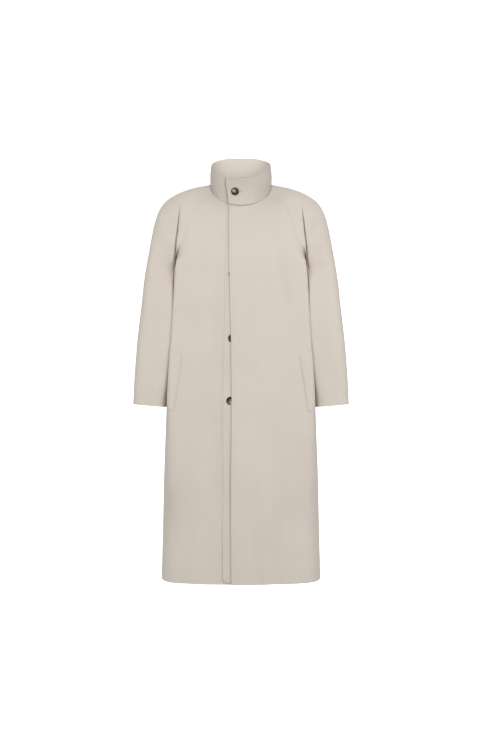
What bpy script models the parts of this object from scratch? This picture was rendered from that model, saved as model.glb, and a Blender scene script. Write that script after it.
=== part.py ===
"""A long raglan coat with a funnel collar, a fly front and slanted welt pockets, filled out as if worn.

Metres, +Z up. The wearer faces -Y and the wearer's left is +X. The origin is the middle of the neck,
level with the tops of the shoulders. Every piece is a wall of cloth round an empty inside, cut and sewn
as on a real coat: two fronts, a back, two-piece raglan sleeves, a collar, a buttonhole strip and welts.
"""

import math
from collections import namedtuple

import bmesh
import bpy
import numpy as np
from mathutils import Vector

# Cloth and seams
CLOTH = 0.002  # a panel's wall: outer cloth with its turnings
COLLAR_CLOTH = 0.0026  # the collar has two layers and a stiffener
STRIP_CLOTH = 0.0014
WELT_CLOTH = 0.0018
SEAM_INSET = 0.00021  # how far each side of a seam draws back, half along the cloth and half into it
MITRE = 0.35  # the least cosine by which a wall is lengthened where two panels meet in a fold
STRIP_GAP = 0.0005
WELT_GAP = 0.00045  # a welt lies over the facets of a round panel, so it needs a little more room
COLLAR_GAP = 0.0006

# The lap at the front: the left front lies over the strip and buttons, which lie on the right front
LIFT = 0.007  # how far the left front stands out from the right front
LIFT_ENDS = 0.095  # where that has faded out to nothing, from the middle of the front
LIFT_ENDS_BEFORE_SEAM = 0.8  # and never further out than this share of the way to the seam
LIFT_FADE = 0.6  # the share of that way over which it fades
LIFT_AT_COLLAR_TOP = 0.0045
UNDER_EDGE = 0.035  # the right front's edge, past the middle under the left front
STRIP_INNER_EDGE = 0.012
STRIP_TOP = 0.100  # below the origin
STRIP_ABOVE_HEM = 0.006
STRIP_CORNER = 0.012
STRIP_CORNER_STEPS = (1.0, 0.55, 0.25, 0.08, 0.0)  # heights of the rows round that corner, as shares of it

# Facets along and round each panel
YOKE_ROWS = 10
BODY_ROWS = 13
SLEEVE_ROWS = 11
FRONT_COLUMNS = 15
LAP_COLUMNS = 3
BACK_COLUMNS = 20
SLEEVE_COLUMNS = 10
COLLAR_COLUMNS = 44
COLLAR_ROWS = 4
STRIP_COLUMNS = 3
WELT_ROWS = 13
WELT_COLUMNS = 7
BEND_SHARE = 0.06  # metres of extra length that a turn of one radian counts for when columns are spaced

# The upper fronts and back, down the raglan seam from the neck to the underarm, wearer's left.
# corner is where a row turns back, as a share of the seam's distance from the middle, and weight how tightly.
# cleft is how far the sleeve folds back against the panel, 0 on a flat seam and 1 in a closed fold. The
# reaches, at the raglan seam and at the seam over the arm, set how round the sleeve is.
Yoke = namedtuple(
    "Yoke", "along centre_y centre_z seam_x seam_y seam_z corner weight cleft seam_reach over_reach"
)
FRONT_YOKE = (
    Yoke(0.0, -0.086, -0.077, 0.0810, -0.040, -0.0380, 0.680, 0.86, 0.00, 0.0180, 0.0180),
    Yoke(0.2, -0.101, -0.106, 0.1200, -0.085, -0.0740, 0.711, 0.90, 0.00, 0.0350, 0.0450),
    Yoke(0.4, -0.119, -0.146, 0.1455, -0.105, -0.1230, 0.745, 0.95, 0.00, 0.0500, 0.0620),
    Yoke(0.6, -0.131, -0.190, 0.1600, -0.112, -0.1760, 0.800, 1.20, 0.10, 0.0550, 0.0750),
    Yoke(0.8, -0.139, -0.226, 0.1830, -0.102, -0.2110, 0.910, 2.60, 0.60, 0.0300, 0.0850),
    Yoke(1.0, -0.144, -0.262, 0.1990, 0.000, -0.2620, 0.955, 5.00, 1.00, 0.1056, 0.1056),
)
BACK_YOKE = (
    Yoke(0.0, 0.076, 0.010, 0.0705, 0.049, 0.0040, 0.609, 0.91, 0.00, 0.0180, 0.0180),
    Yoke(0.2, 0.099, -0.030, 0.1080, 0.084, -0.0380, 0.667, 0.90, 0.00, 0.0350, 0.0450),
    Yoke(0.4, 0.117, -0.080, 0.1380, 0.104, -0.0880, 0.711, 0.95, 0.00, 0.0500, 0.0620),
    Yoke(0.6, 0.129, -0.135, 0.1600, 0.110, -0.1450, 0.770, 1.10, 0.10, 0.0550, 0.0750),
    Yoke(0.8, 0.136, -0.195, 0.1840, 0.093, -0.2050, 0.900, 2.20, 0.65, 0.0300, 0.0850),
    Yoke(1.0, 0.140, -0.262, 0.1990, 0.000, -0.2620, 0.955, 5.00, 1.00, 0.1173, 0.1173),
)

# The seam over the top of the shoulder and arm, beside the rows above
Overarm = namedtuple("Overarm", "along x y z")
OVERARM = (
    Overarm(0.0, 0.092, 0.000, -0.0040),
    Overarm(0.2, 0.150, 0.000, -0.0165),
    Overarm(0.4, 0.201, 0.000, -0.0375),
    Overarm(0.6, 0.236, -0.001, -0.0675),
    Overarm(0.8, 0.258, -0.004, -0.1220),
    Overarm(1.0, 0.280, -0.020, -0.2500),
)

# The body from the underarm to the hem
Body = namedtuple("Body", "down half_width side_y front_y back_y corner weight")
BODY = (
    Body(0.262, 0.1990, 0.000, -0.1440, 0.1400, 0.955, 5.0),
    Body(0.300, 0.2067, 0.036, -0.1465, 0.1415, 0.935, 5.5),
    Body(0.360, 0.2116, 0.051, -0.1490, 0.1420, 0.932, 6.0),
    Body(0.500, 0.2193, 0.060, -0.1515, 0.1430, 0.938, 6.0),
    Body(0.600, 0.2240, 0.055, -0.1522, 0.1435, 0.950, 4.5),
    Body(0.680, 0.2256, 0.042, -0.1525, 0.1440, 0.970, 3.2),
    Body(0.930, 0.2315, 0.012, -0.1550, 0.1480, 0.997, 2.2),
    Body(1.175, 0.2370, 0.000, -0.1580, 0.1520, 1.000, 1.8),
)

# The sleeve from the underarm to the cuff. slant is how much lower its inner side is than its outer side.
Sleeve = namedtuple("Sleeve", "down outer_x outer_y inner_x inner_y front_depth back_depth slant")
SLEEVE = (
    Sleeve(0.256, 0.2800, -0.0200, 0.1990, 0.000, 0.095, 0.088, 0.012),
    Sleeve(0.300, 0.2865, -0.0300, 0.2022, -0.033, 0.088, 0.086, 0.011),
    Sleeve(0.360, 0.2925, -0.0390, 0.2050, -0.050, 0.083, 0.081, 0.010),
    Sleeve(0.470, 0.3045, -0.0500, 0.2105, -0.057, 0.078, 0.075, 0.009),
    Sleeve(0.570, 0.3125, -0.0560, 0.2160, -0.060, 0.072, 0.070, 0.009),
    Sleeve(0.663, 0.3170, -0.0610, 0.2200, -0.063, 0.067, 0.063, 0.009),
)

FRONT_PULL = 3.0  # how boxy the front of the sleeve is
BACK_PULL = 1.0
PULL_STARTS = 0.6  # where that begins down the raglan seam

# The lap's two edges, down the front
FrontEdge = namedtuple("FrontEdge", "down left_edge strip_edge")
FRONT_EDGE = (
    FrontEdge(0.075, -0.0370, -0.0395),
    FrontEdge(0.300, -0.0325, -0.0460),
    FrontEdge(0.460, -0.0285, -0.0485),
    FrontEdge(0.650, -0.0265, -0.0545),
    FrontEdge(0.900, -0.0280, -0.0515),
    FrontEdge(1.180, -0.0272, -0.0520),
)

# The largest folds, each a straight trough on the front (-1) or back (+1), deepest at its lower end
# when swell is 1 and in its middle when swell is 0
Fold = namedtuple("Fold", "face top_x top_z low_x low_z depth half_width swell")
FOLDS = (
    Fold(-1, 0.176, -0.056, 0.191, -0.205, 0.010, 0.016, 1),
    Fold(-1, -0.176, -0.056, -0.191, -0.205, 0.010, 0.016, 1),
    Fold(1, 0.176, -0.070, 0.191, -0.205, 0.010, 0.018, 1),
    Fold(1, -0.176, -0.070, -0.191, -0.205, 0.010, 0.018, 1),
    Fold(-1, -0.119, -0.120, -0.124, -0.380, 0.004, 0.022, 0),
    Fold(-1, 0.096, -0.110, 0.136, -0.440, 0.004, 0.022, 0),
    Fold(-1, 0.040, -0.640, 0.046, -1.175, 0.004, 0.030, 1),
    Fold(-1, -0.165, -0.780, -0.172, -1.175, 0.006, 0.030, 1),
    Fold(-1, 0.150, -0.800, 0.160, -1.175, 0.005, 0.032, 1),
    Fold(1, 0.000, -0.260, 0.000, -1.175, 0.010, 0.045, 1),
    Fold(1, 0.110, -0.420, 0.120, -1.175, 0.008, 0.040, 1),
    Fold(1, -0.115, -0.360, -0.125, -1.175, 0.008, 0.040, 1),
)
FOLD_FREE_Y = 0.025  # folds stay this far clear of the side, underarm and overarm seams, by |y|
FOLD_FULL_Y = 0.070
FOLD_RUN_OUT = 0.25  # a fold runs out past its lower end over this share of its length

# The collar: a ring that leans forward, on the neck edge of the panels
COLLAR_HALF_WIDTH = 0.0885
COLLAR_FRONT_Y = -0.083
COLLAR_BACK_Y = 0.079
COLLAR_FRONT_Z = 0.002
COLLAR_BACK_Z = 0.088
COLLAR_SQUARE = 3.4
COLLAR_BULGE = 0.002
FLAP_SLANT = 0.009  # the overlapping end leans out this much further at its top
FLAP_SLANT_LENGTH = 0.040
FLAP_CORNER = 0.010
FLAP_CORNER_STEPS = (0.0, 0.15, 0.5, 1.0)  # distances of the first columns from the end, as shares of it

# The pockets: slanted welts, by their edge towards the front, wearer's left
Welt = namedtuple("Welt", "x z")
WELT_TOP = Welt(0.1683, -0.514)
WELT_LOW = Welt(0.1938, -0.680)
WELT_WIDTH = 0.040
WELT_RISE = 0.020  # its far edge is this much higher

# Four-hole buttons
BUTTON_RADIUS = 0.0115
BUTTON_THICKNESS = 0.0025
BUTTON_SIDES = 24
BUTTON_DISH = 0.0007
BUTTON_HOLE_RADIUS = 0.0010
BUTTON_HOLE_PLACE = 0.0022  # each hole's distance from the middle, across and up
BUTTON_HOLE_SIDES = 8
BUTTON_SEAT = 0.0005
ButtonPlace = namedtuple("ButtonPlace", "name x z")
COLLAR_BUTTON = ButtonPlace("button_collar", -0.0175, -0.034)
FRONT_BUTTONS = (
    ButtonPlace("button_front_1", -0.0245, -0.283),
    ButtonPlace("button_front_2", -0.0258, -0.469),
    ButtonPlace("button_front_3", -0.0310, -0.648),
)

FINE = 80  # samples along a curve before its columns are spaced
SAME_POINT = 1e-6  # points of two panels that are nearer than this are one point of a seam
SHARP_EDGE = math.radians(40.0)


def unit(vectors):
    """The same directions with length one."""
    return vectors / np.linalg.norm(vectors, axis=-1, keepdims=True)


def smooth(share):
    """An even ease from 0 to 1."""
    share = np.clip(share, 0.0, 1.0)
    return share * share * (3.0 - 2.0 * share)


def interpolate(rows, at):
    """The row of a table at a value of its first column, on smooth curves through the rows."""
    table = np.array(rows)
    knots = table[:, 0]
    slopes = np.gradient(table, knots, axis=0)
    i = int(np.clip(np.searchsorted(knots, at) - 1, 0, len(knots) - 2))
    span = knots[i + 1] - knots[i]
    t = (at - knots[i]) / span
    values = table[i] + t * t * (3.0 - 2.0 * t) * (table[i + 1] - table[i])
    values = values + span * t * (1.0 - t) * ((1.0 - t) * slopes[i] - t * slopes[i + 1])
    return rows[0]._make(values)


def lengths_along(points):
    """The distance of each point from the first, along the line."""
    steps = np.linalg.norm(np.diff(points, axis=0), axis=1)
    return np.concatenate([[0.0], np.cumsum(steps)])


def at_lengths(points, measure, wanted):
    """Points of the line where the running measure has the wanted values."""
    return np.stack([np.interp(wanted, measure, points[:, k]) for k in range(points.shape[1])], axis=1)


def spaced(points, count):
    """The line as count points, closer together where it bends."""
    steps = np.diff(points[:, :3], axis=0)
    bends = np.arccos(np.clip((unit(steps[1:]) * unit(steps[:-1])).sum(axis=1), -1.0, 1.0))
    measure = lengths_along(points[:, :3])
    measure[1:-1] += BEND_SHARE * np.cumsum(bends)
    measure[-1] += BEND_SHARE * bends.sum()
    return at_lengths(points, measure, np.linspace(0.0, measure[-1], count))


def centre_to_seam(centre, seam, corner, weight):
    """Half a section, from the middle of a panel to its seam, drawn by the weight towards its corner."""
    t = np.linspace(0.0, 1.0, FINE)[:, None]
    s = 1.0 - t
    turning = np.array([corner * seam[0], centre[1], centre[2]])
    near_centre, near_corner, near_seam = s * s, 2.0 * weight * s * t, t * t
    line = near_centre * centre + near_corner * turning + near_seam * seam
    return line / (near_centre + near_corner + near_seam)


def bezier(a, b, c, d, pull=1.0):
    """A curve from a to d, drawn harder towards b and c, so boxier, where pull is over 1."""
    t = np.linspace(0.0, 1.0, FINE)[:, None]
    s = 1.0 - t
    near_a, near_b, near_c, near_d = s**3, 3.0 * pull * s * s * t, 3.0 * pull * s * t * t, t**3
    return (near_a * a + near_b * b + near_c * c + near_d * d) / (near_a + near_b + near_c + near_d)


def yoke_line(along, face):
    """A fine row of the upper front (face -1) or back (+1), from the middle to the raglan seam."""
    row = interpolate(FRONT_YOKE if face < 0 else BACK_YOKE, along)
    centre = np.array([0.0, row.centre_y, row.centre_z])
    seam = np.array([row.seam_x, row.seam_y, row.seam_z])
    return row, centre_to_seam(centre, seam, row.corner, row.weight)


def body_line(down, face):
    """A fine row of the body below the underarm, from the middle to the side seam."""
    row = interpolate(BODY, down)
    centre = np.array([0.0, row.front_y if face < 0 else row.back_y, -down])
    seam = np.array([row.half_width, row.side_y, -down])
    return centre_to_seam(centre, seam, row.corner, row.weight)


def sleeve_pull(face):
    return FRONT_PULL if face < 0 else BACK_PULL


def upper_sleeve_line(along, face):
    """A fine row of the upper sleeve, from the raglan seam to the seam over the arm."""
    row, panel = yoke_line(along, face)
    over = np.array(interpolate(OVERARM, along)[1:])
    forward = np.array([0.0, face, 0.0])
    leave = unit((1.0 - row.cleft) * unit(panel[-1] - panel[-2]) + row.cleft * forward)
    seam = panel[-1]
    pull = 1.0 + (sleeve_pull(face) - 1.0) * smooth((along - PULL_STARTS) / (1.0 - PULL_STARTS))
    return bezier(seam, seam + row.seam_reach * leave, over + row.over_reach * forward, over, pull)


def lower_sleeve_line(down, face):
    """A fine half ring of the sleeve below the underarm, from its inner side to its outer side."""
    row = interpolate(SLEEVE, down)
    outer = np.array([row.outer_x, row.outer_y, -(down - row.slant / 2)])
    inner = np.array([row.inner_x, row.inner_y, -(down + row.slant / 2)])
    depth = row.front_depth if face < 0 else row.back_depth
    pull = sleeve_pull(face)
    push = np.array([0.0, face * depth * (1.0 + 1.0 / (3.0 * pull)), 0.0])
    return bezier(inner, inner + push, outer + push, outer, pull)


def lap_line(line, edge_x):
    """The part of a front that is carried past the middle to its edge, as a mirror of the row itself."""
    x = np.linspace(edge_x, 0.0, LAP_COLUMNS + 1)[:-1]
    lap = at_lengths(line, line[:, 0], -x)
    lap[:, 0] = x
    return lap


def folded(points):
    """The points with the coat's largest folds pressed into them."""
    points = points.copy()
    x, y, z = points[..., 0], points[..., 1].copy(), points[..., 2]
    free = smooth((np.abs(y) - FOLD_FREE_Y) / (FOLD_FULL_Y - FOLD_FREE_Y))
    for fold in FOLDS:
        share = (fold.top_z - z) / (fold.top_z - fold.low_z)
        line_x = fold.top_x + share * (fold.low_x - fold.top_x)
        rise = smooth(share) if fold.swell else np.sin(math.pi * np.clip(share, 0.0, 1.0))
        past_end = smooth(1.0 - (share - 1.0) / FOLD_RUN_OUT)
        away = (x - line_x) / fold.half_width
        depth = fold.depth * rise * past_end * np.exp(-away * away) * free
        points[..., 1] -= np.where(y * fold.face > 0.0, fold.face * depth, 0.0)
    return points


def front_grid(edge_of_row, lift):
    """A front as a grid of outer points, wearer's left, with the lift of each point as a fourth value."""
    lines = [yoke_line(along, -1)[1] for along in np.linspace(0.0, 1.0, YOKE_ROWS + 1)]
    lines += [body_line(down, -1) for down in body_downs()]
    rows = []
    for line in lines:
        row = np.concatenate([lap_line(line, edge_of_row(-line[0, 2])), spaced(line, FRONT_COLUMNS + 1)])
        ends = min(LIFT_ENDS, LIFT_ENDS_BEFORE_SEAM * line[-1, 0])
        fade = smooth((ends - row[:, 0]) / (LIFT_FADE * ends))
        rows.append(np.column_stack([row, lift * fade]))
    return np.array(rows)


def body_downs():
    return np.linspace(BODY[0].down, BODY[-1].down, BODY_ROWS + 1)[1:]


def half_back_grid():
    lines = [yoke_line(along, 1)[1] for along in np.linspace(0.0, 1.0, YOKE_ROWS + 1)]
    lines += [body_line(down, 1) for down in body_downs()]
    return np.array([spaced(line, BACK_COLUMNS // 2 + 1) for line in lines])


def sleeve_grid(face):
    lines = [upper_sleeve_line(along, face) for along in np.linspace(0.0, 1.0, YOKE_ROWS + 1)]
    downs = np.linspace(SLEEVE[0].down, SLEEVE[-1].down, SLEEVE_ROWS + 1)[1:]
    lines += [lower_sleeve_line(down, face) for down in downs]
    return np.array([spaced(line, SLEEVE_COLUMNS + 1) for line in lines])


def mirrored(grid):
    """The grid on the wearer's other side, with its columns still running the same way round the body."""
    other = grid[:, ::-1].copy()
    other[..., 0] *= -1.0
    return other


def panel_grids():
    """Every panel as a grid of outer points, its columns running round the body to the wearer's left."""
    left = front_grid(lambda down: interpolate(FRONT_EDGE, down).left_edge, LIFT)
    right = mirrored(front_grid(lambda down: -UNDER_EDGE, 0.0))
    sleeve_front = sleeve_grid(-1)
    sleeve_back = sleeve_grid(1)[:, ::-1]
    half_back = half_back_grid()[:, ::-1]
    back = np.concatenate([half_back, mirrored(half_back)[:, 1:]], axis=1)
    grids = {
        "front_left": left[..., :3],
        "sleeve_front_left": sleeve_front,
        "sleeve_back_left": sleeve_back,
        "back": back,
        "sleeve_back_right": mirrored(sleeve_back),
        "sleeve_front_right": mirrored(sleeve_front),
        "front_right": right[..., :3],
    }
    grids = {name: folded(grid) for name, grid in grids.items()}
    necks = {name: np.column_stack([grid[0], np.zeros(len(grid[0]))]) for name, grid in grids.items()}
    necks["front_left"][:, 3] = left[0, :, 3]
    grids["front_left"][..., 1] -= left[..., 3]
    return grids, necks


def normals(grid):
    """Unit normals that point out of the coat, for columns that run round it to the left."""
    return unit(np.cross(np.gradient(grid, axis=0), np.gradient(grid, axis=1)))


def shared_normals(grids, own):
    """The normals again, with those of points on a seam averaged over the panels that meet there."""
    sums = {}
    for name, grid in grids.items():
        keys = np.round(grid / SAME_POINT).astype(int).reshape(-1, 3)
        for key, normal in zip(map(tuple, keys), own[name].reshape(-1, 3)):
            sums[key] = sums.get(key, 0.0) + normal
    shared = {}
    for name, grid in grids.items():
        keys = np.round(grid / SAME_POINT).astype(int).reshape(-1, 3)
        shared[name] = unit(np.array([sums[tuple(key)] for key in keys])).reshape(grid.shape)
    return shared


def seam_columns(name):
    """Which of a panel's side columns are sewn: all but the free edges of the fronts."""
    return [k for k, free in ((0, "front_left"), (-1, "front_right")) if name != free]


def panel_walls(grids):
    """The outer and inner points of every panel, drawn back at its seams."""
    own = {name: normals(grid) for name, grid in grids.items()}
    shared = shared_normals(grids, own)
    walls = {}
    for name, grid in grids.items():
        cosine = np.clip((own[name] * shared[name]).sum(axis=-1, keepdims=True), MITRE, 1.0)
        outer = grid.copy()
        for column in seam_columns(name):
            inside = grid[:, 1 if column == 0 else -2] - grid[:, column]
            outer[:, column] += SEAM_INSET * unit(unit(inside) - own[name][:, column])
        walls[name] = (outer, outer - shared[name] * CLOTH / cosine)
    return walls


def collar_top(angle):
    """A point of the collar's top edge, by its angle round the neck from the front to the left."""
    power = 2.0 / COLLAR_SQUARE
    x = COLLAR_HALF_WIDTH * np.sign(np.sin(angle)) * np.abs(np.sin(angle)) ** power
    lean = (1.0 - np.sign(np.cos(angle)) * np.abs(np.cos(angle)) ** power) / 2.0
    y = COLLAR_FRONT_Y + lean * (COLLAR_BACK_Y - COLLAR_FRONT_Y)
    z = COLLAR_FRONT_Z + lean * (COLLAR_BACK_Z - COLLAR_FRONT_Z)
    return np.stack([x, y, z], axis=-1)


def collar_grid(necks):
    """The collar's outer points, from the end of its flap round the neck to the end beneath the flap."""
    line = np.concatenate([row if i == 0 else row[1:] for i, row in enumerate(necks.values())])
    measure = lengths_along(line[:, :3])
    wanted = np.array(FLAP_CORNER_STEPS) * FLAP_CORNER
    wanted = np.concatenate([wanted, np.linspace(FLAP_CORNER, measure[-1], COLLAR_COLUMNS + 1)[1:]])
    base = at_lengths(line, measure, wanted)
    lift = base[:, 3]
    middle_y = (COLLAR_FRONT_Y + COLLAR_BACK_Y) / 2.0
    half_depth = (COLLAR_BACK_Y - COLLAR_FRONT_Y) / 2.0
    angle = np.unwrap(np.arctan2(base[:, 0] / COLLAR_HALF_WIDTH, (middle_y - base[:, 1]) / half_depth))
    angle = angle - FLAP_SLANT / COLLAR_HALF_WIDTH * smooth(1.0 - wanted / FLAP_SLANT_LENGTH)
    top = collar_top(angle)
    base = base[:, :3] + [0.0, 0.0, COLLAR_GAP]
    into_corner = np.clip(1.0 - wanted / FLAP_CORNER, 0.0, 1.0)
    height = 1.0 - FLAP_CORNER * (1.0 - np.sqrt(1.0 - into_corner**2)) / np.linalg.norm(top - base, axis=1)
    out = unit(np.stack([np.sin(angle), -np.cos(angle), np.zeros(len(angle))], axis=1))
    rows = []
    for share in np.linspace(1.0, 0.0, COLLAR_ROWS + 1):
        up = (share * height)[:, None]
        row = base + up * (top - base) + COLLAR_BULGE * np.sin(math.pi * up) * out
        row[:, 1] -= lift + up[:, 0] * lift * (LIFT_AT_COLLAR_TOP / LIFT - 1.0)
        rows.append(row)
    return np.array(rows)


def strip_grid(front_right):
    """The buttonhole strip's back, from the right front's own rows, moved out."""
    under = front_right - [0.0, STRIP_GAP, 0.0]
    middle = np.array([np.interp(0.0, row[:, 0], row[:, 2]) for row in under])
    low = middle[-1] + STRIP_ABOVE_HEM
    corner = low + STRIP_CORNER * np.array(STRIP_CORNER_STEPS)
    inside = middle[(middle < -STRIP_TOP) & (middle > corner[0])]
    rows = []
    for z in np.concatenate([[-STRIP_TOP], inside, corner]):
        place = np.interp(-z, -middle, np.arange(len(middle)))
        above = int(min(place, len(middle) - 2))
        row = under[above] + (place - above) * (under[above + 1] - under[above])
        into = np.clip(1.0 - (z - low) / STRIP_CORNER, 0.0, 1.0)
        edge = interpolate(FRONT_EDGE, -z).strip_edge + STRIP_CORNER * (1.0 - math.sqrt(1.0 - into**2))
        rows.append(at_lengths(row, row[:, 0], np.linspace(edge, STRIP_INNER_EDGE, STRIP_COLUMNS + 1)))
    return np.array(rows)


def on_body(down, length):
    """The point of the front body at a depth below the origin and a length round from the middle."""
    line = body_line(down, -1)
    return at_lengths(line, lengths_along(line), [length])[0]


def length_at(down, x):
    line = body_line(down, -1)
    return np.interp(x, line[:, 0], lengths_along(line))


def welt_grid():
    """The left pocket's welt on the front's surface, from its edge towards the front to its far edge."""
    rows = []
    for v in np.linspace(0.0, 1.0, WELT_ROWS + 1):
        x = WELT_TOP.x + v * (WELT_LOW.x - WELT_TOP.x)
        z = WELT_TOP.z + v * (WELT_LOW.z - WELT_TOP.z)
        start = length_at(-z, x)
        shares = np.linspace(0.0, 1.0, WELT_COLUMNS + 1)
        rows.append([on_body(-z - WELT_RISE * s, start + WELT_WIDTH * s) for s in shares])
    return folded(np.array(rows))


def principled(name, colour, roughness):
    material = bpy.data.materials.new(name)
    material.use_nodes = True
    shader = material.node_tree.nodes["Principled BSDF"]
    shader.inputs["Base Color"].default_value = (*colour, 1.0)
    shader.inputs["Roughness"].default_value = roughness
    shader.inputs["Metallic"].default_value = 0.0
    return material


def add_object(name, mesh, parent):
    piece = bpy.data.objects.new(name, mesh)
    bpy.context.scene.collection.objects.link(piece)
    piece.parent = parent
    return piece


def triangles(a, b, c, d, cut_from_a):
    """Two triangles for each quad a, b, c, d, cut from a to c where asked and otherwise from b to d."""
    first = np.stack([a, b, np.where(cut_from_a, c, d)], axis=-1)
    second = np.stack([np.where(cut_from_a, a, b), c, d], axis=-1)
    return np.concatenate([first.reshape(-1, 3), second.reshape(-1, 3)])


def add_wall(name, outer, inner, material, parent):
    """A closed wall between two grids of points, with a rim all round."""
    rows, columns = outer.shape[:2]
    index = np.arange(rows * columns).reshape(rows, columns)
    corners = (index[:-1, :-1], index[1:, :-1], index[1:, 1:], index[:-1, 1:])
    flat = outer.reshape(-1, 3)
    a, b, c, d = (flat[corner] for corner in corners)
    shorter = np.linalg.norm(a - c, axis=-1) <= np.linalg.norm(b - d, axis=-1)
    skin = triangles(*corners, shorter)
    under = rows * columns
    faces = [skin, skin[:, ::-1] + under]
    # Both panels of a seam cut their rims the same way, so that the two rims stay parallel.
    rims = ((index[0], True), (index[:, -1], True), (index[-1, ::-1], True), (index[::-1, 0], False))
    for rim, cut_from_outer in rims:
        here, after = rim[:-1], rim[1:]
        faces.append(triangles(here, after, after + under, here + under, cut_from_outer))
    mesh = bpy.data.meshes.new(name)
    points = np.concatenate([flat, inner.reshape(-1, 3)])
    mesh.from_pydata(points.tolist(), [], np.concatenate(faces).tolist())
    mesh.shade_smooth()
    mesh.set_sharp_from_angle(angle=SHARP_EDGE)
    mesh.materials.append(material)
    return add_object(name, mesh, parent)


def button_mesh(material):
    """A dished four-hole button that lies on z = 0 with its face up."""
    radius, thickness = BUTTON_RADIUS, BUTTON_THICKNESS
    profile = (
        (0.88 * radius, 0.0),
        (radius, 0.35 * thickness),
        (radius, 0.65 * thickness),
        (0.92 * radius, thickness),
        (0.80 * radius, thickness),
        (0.62 * radius, thickness - BUTTON_DISH),
    )
    angles = np.linspace(0.0, 2.0 * math.pi, BUTTON_SIDES, endpoint=False)
    points = [(r * math.cos(a), r * math.sin(a), z) for r, z in profile for a in angles]
    ring = np.arange(BUTTON_SIDES)
    after = np.roll(ring, -1)
    faces = [ring[::-1].tolist()]
    for k in range(len(profile) - 1):
        low, high = k * BUTTON_SIDES, (k + 1) * BUTTON_SIDES
        faces += np.stack([ring + low, after + low, after + high, ring + high], axis=1).tolist()
    faces.append((ring + (len(profile) - 1) * BUTTON_SIDES).tolist())
    disc = bpy.data.meshes.new("button_blank")
    disc.from_pydata(points, [], faces)
    blank = add_object("button_blank", disc, None)

    holes = bmesh.new()
    for x in (-BUTTON_HOLE_PLACE, BUTTON_HOLE_PLACE):
        for y in (-BUTTON_HOLE_PLACE, BUTTON_HOLE_PLACE):
            made = bmesh.ops.create_cone(
                holes,
                cap_ends=True,
                segments=BUTTON_HOLE_SIDES,
                radius1=BUTTON_HOLE_RADIUS,
                radius2=BUTTON_HOLE_RADIUS,
                depth=4.0 * thickness,
            )
            bmesh.ops.translate(holes, verts=made["verts"], vec=(x, y, 0.0))
    cutter_mesh = bpy.data.meshes.new("button_holes")
    holes.to_mesh(cutter_mesh)
    holes.free()
    cutter = add_object("button_holes", cutter_mesh, None)

    cut = blank.modifiers.new("holes", "BOOLEAN")
    cut.operation = "DIFFERENCE"
    cut.object = cutter
    bpy.context.view_layer.update()
    graph = bpy.context.evaluated_depsgraph_get()
    mesh = bpy.data.meshes.new_from_object(blank.evaluated_get(graph))
    mesh.name = "button"
    mesh.materials.clear()
    mesh.materials.append(material)
    mesh.shade_smooth()
    mesh.set_sharp_from_angle(angle=SHARP_EDGE)
    for helper in (blank, cutter):
        bpy.data.objects.remove(helper)
    return mesh


def seat(grid, columns, x, z):
    """The point of a nearly upright grid at x and z, and its normal, taken over the columns given."""
    rows = [row[columns][np.argsort(row[columns][:, 0])] for row in grid]
    level = np.array([at_lengths(row, row[:, 0], [x])[0] for row in rows])
    level = level[np.argsort(level[:, 2])]
    side = np.array([at_lengths(row, row[:, 0], [x + BUTTON_RADIUS])[0] for row in rows])
    side = side[np.argsort(side[:, 2])]
    at = [at_lengths(line, line[:, 2], [z])[0] for line in (level, side)]
    above = at_lengths(level, level[:, 2], [z + BUTTON_RADIUS])[0]
    return at[0], unit(np.cross(at[1] - at[0], above - at[0]))


def add_button(place, mesh, grid, columns, parent):
    point, normal = seat(grid, columns, place.x, place.z)
    button = add_object(place.name, mesh, parent)
    button.rotation_mode = "QUATERNION"
    button.rotation_quaternion = Vector(normal).to_track_quat("Z", "Y")
    button.location = point + BUTTON_SEAT * normal


def main():
    for old in list(bpy.data.objects):
        bpy.data.objects.remove(old)
    cloth = principled("cloth", (0.62, 0.56, 0.49), 0.85)
    horn = principled("button", (0.05, 0.025, 0.012), 0.3)
    coat = add_object("coat", None, None)

    grids, necks = panel_grids()
    for name, (outer, inner) in panel_walls(grids).items():
        add_wall(name, outer, inner, cloth, coat)

    collar = collar_grid(necks)
    add_wall("collar", collar, collar - COLLAR_CLOTH * normals(collar), cloth, coat)

    strip_back = strip_grid(grids["front_right"])
    strip = strip_back - [0.0, STRIP_CLOTH, 0.0]
    add_wall("fly_strip", strip, strip_back, cloth, coat)

    welt = welt_grid()
    welt_out = normals(welt)
    welt_face = welt + (WELT_GAP + WELT_CLOTH) * welt_out
    welt_back = welt + WELT_GAP * welt_out
    add_wall("pocket_welt_left", welt_face, welt_back, cloth, coat)
    add_wall("pocket_welt_right", mirrored(welt_face), mirrored(welt_back), cloth, coat)

    button = button_mesh(horn)
    flap = np.arange(len(FLAP_CORNER_STEPS) + 6)
    add_button(COLLAR_BUTTON, button, collar, flap, coat)
    for place in FRONT_BUTTONS:
        add_button(place, button, strip, np.arange(STRIP_COLUMNS + 1), coat)


if __name__ == "__main__":
    main()
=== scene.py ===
"""The looks of a long raglan coat: shells of cloth on the solids' form, with creases, sewing and buttons.

Metres, +Z up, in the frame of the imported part: the wearer faces -Y, the wearer's left is +X, and the origin
is the middle of the neck. The tables hold the garment's sizes, and all sewing is measured on them.
"""

import math
from collections import namedtuple

import bmesh
import bpy
import numpy as np
from mathutils import Matrix, Vector


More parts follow.
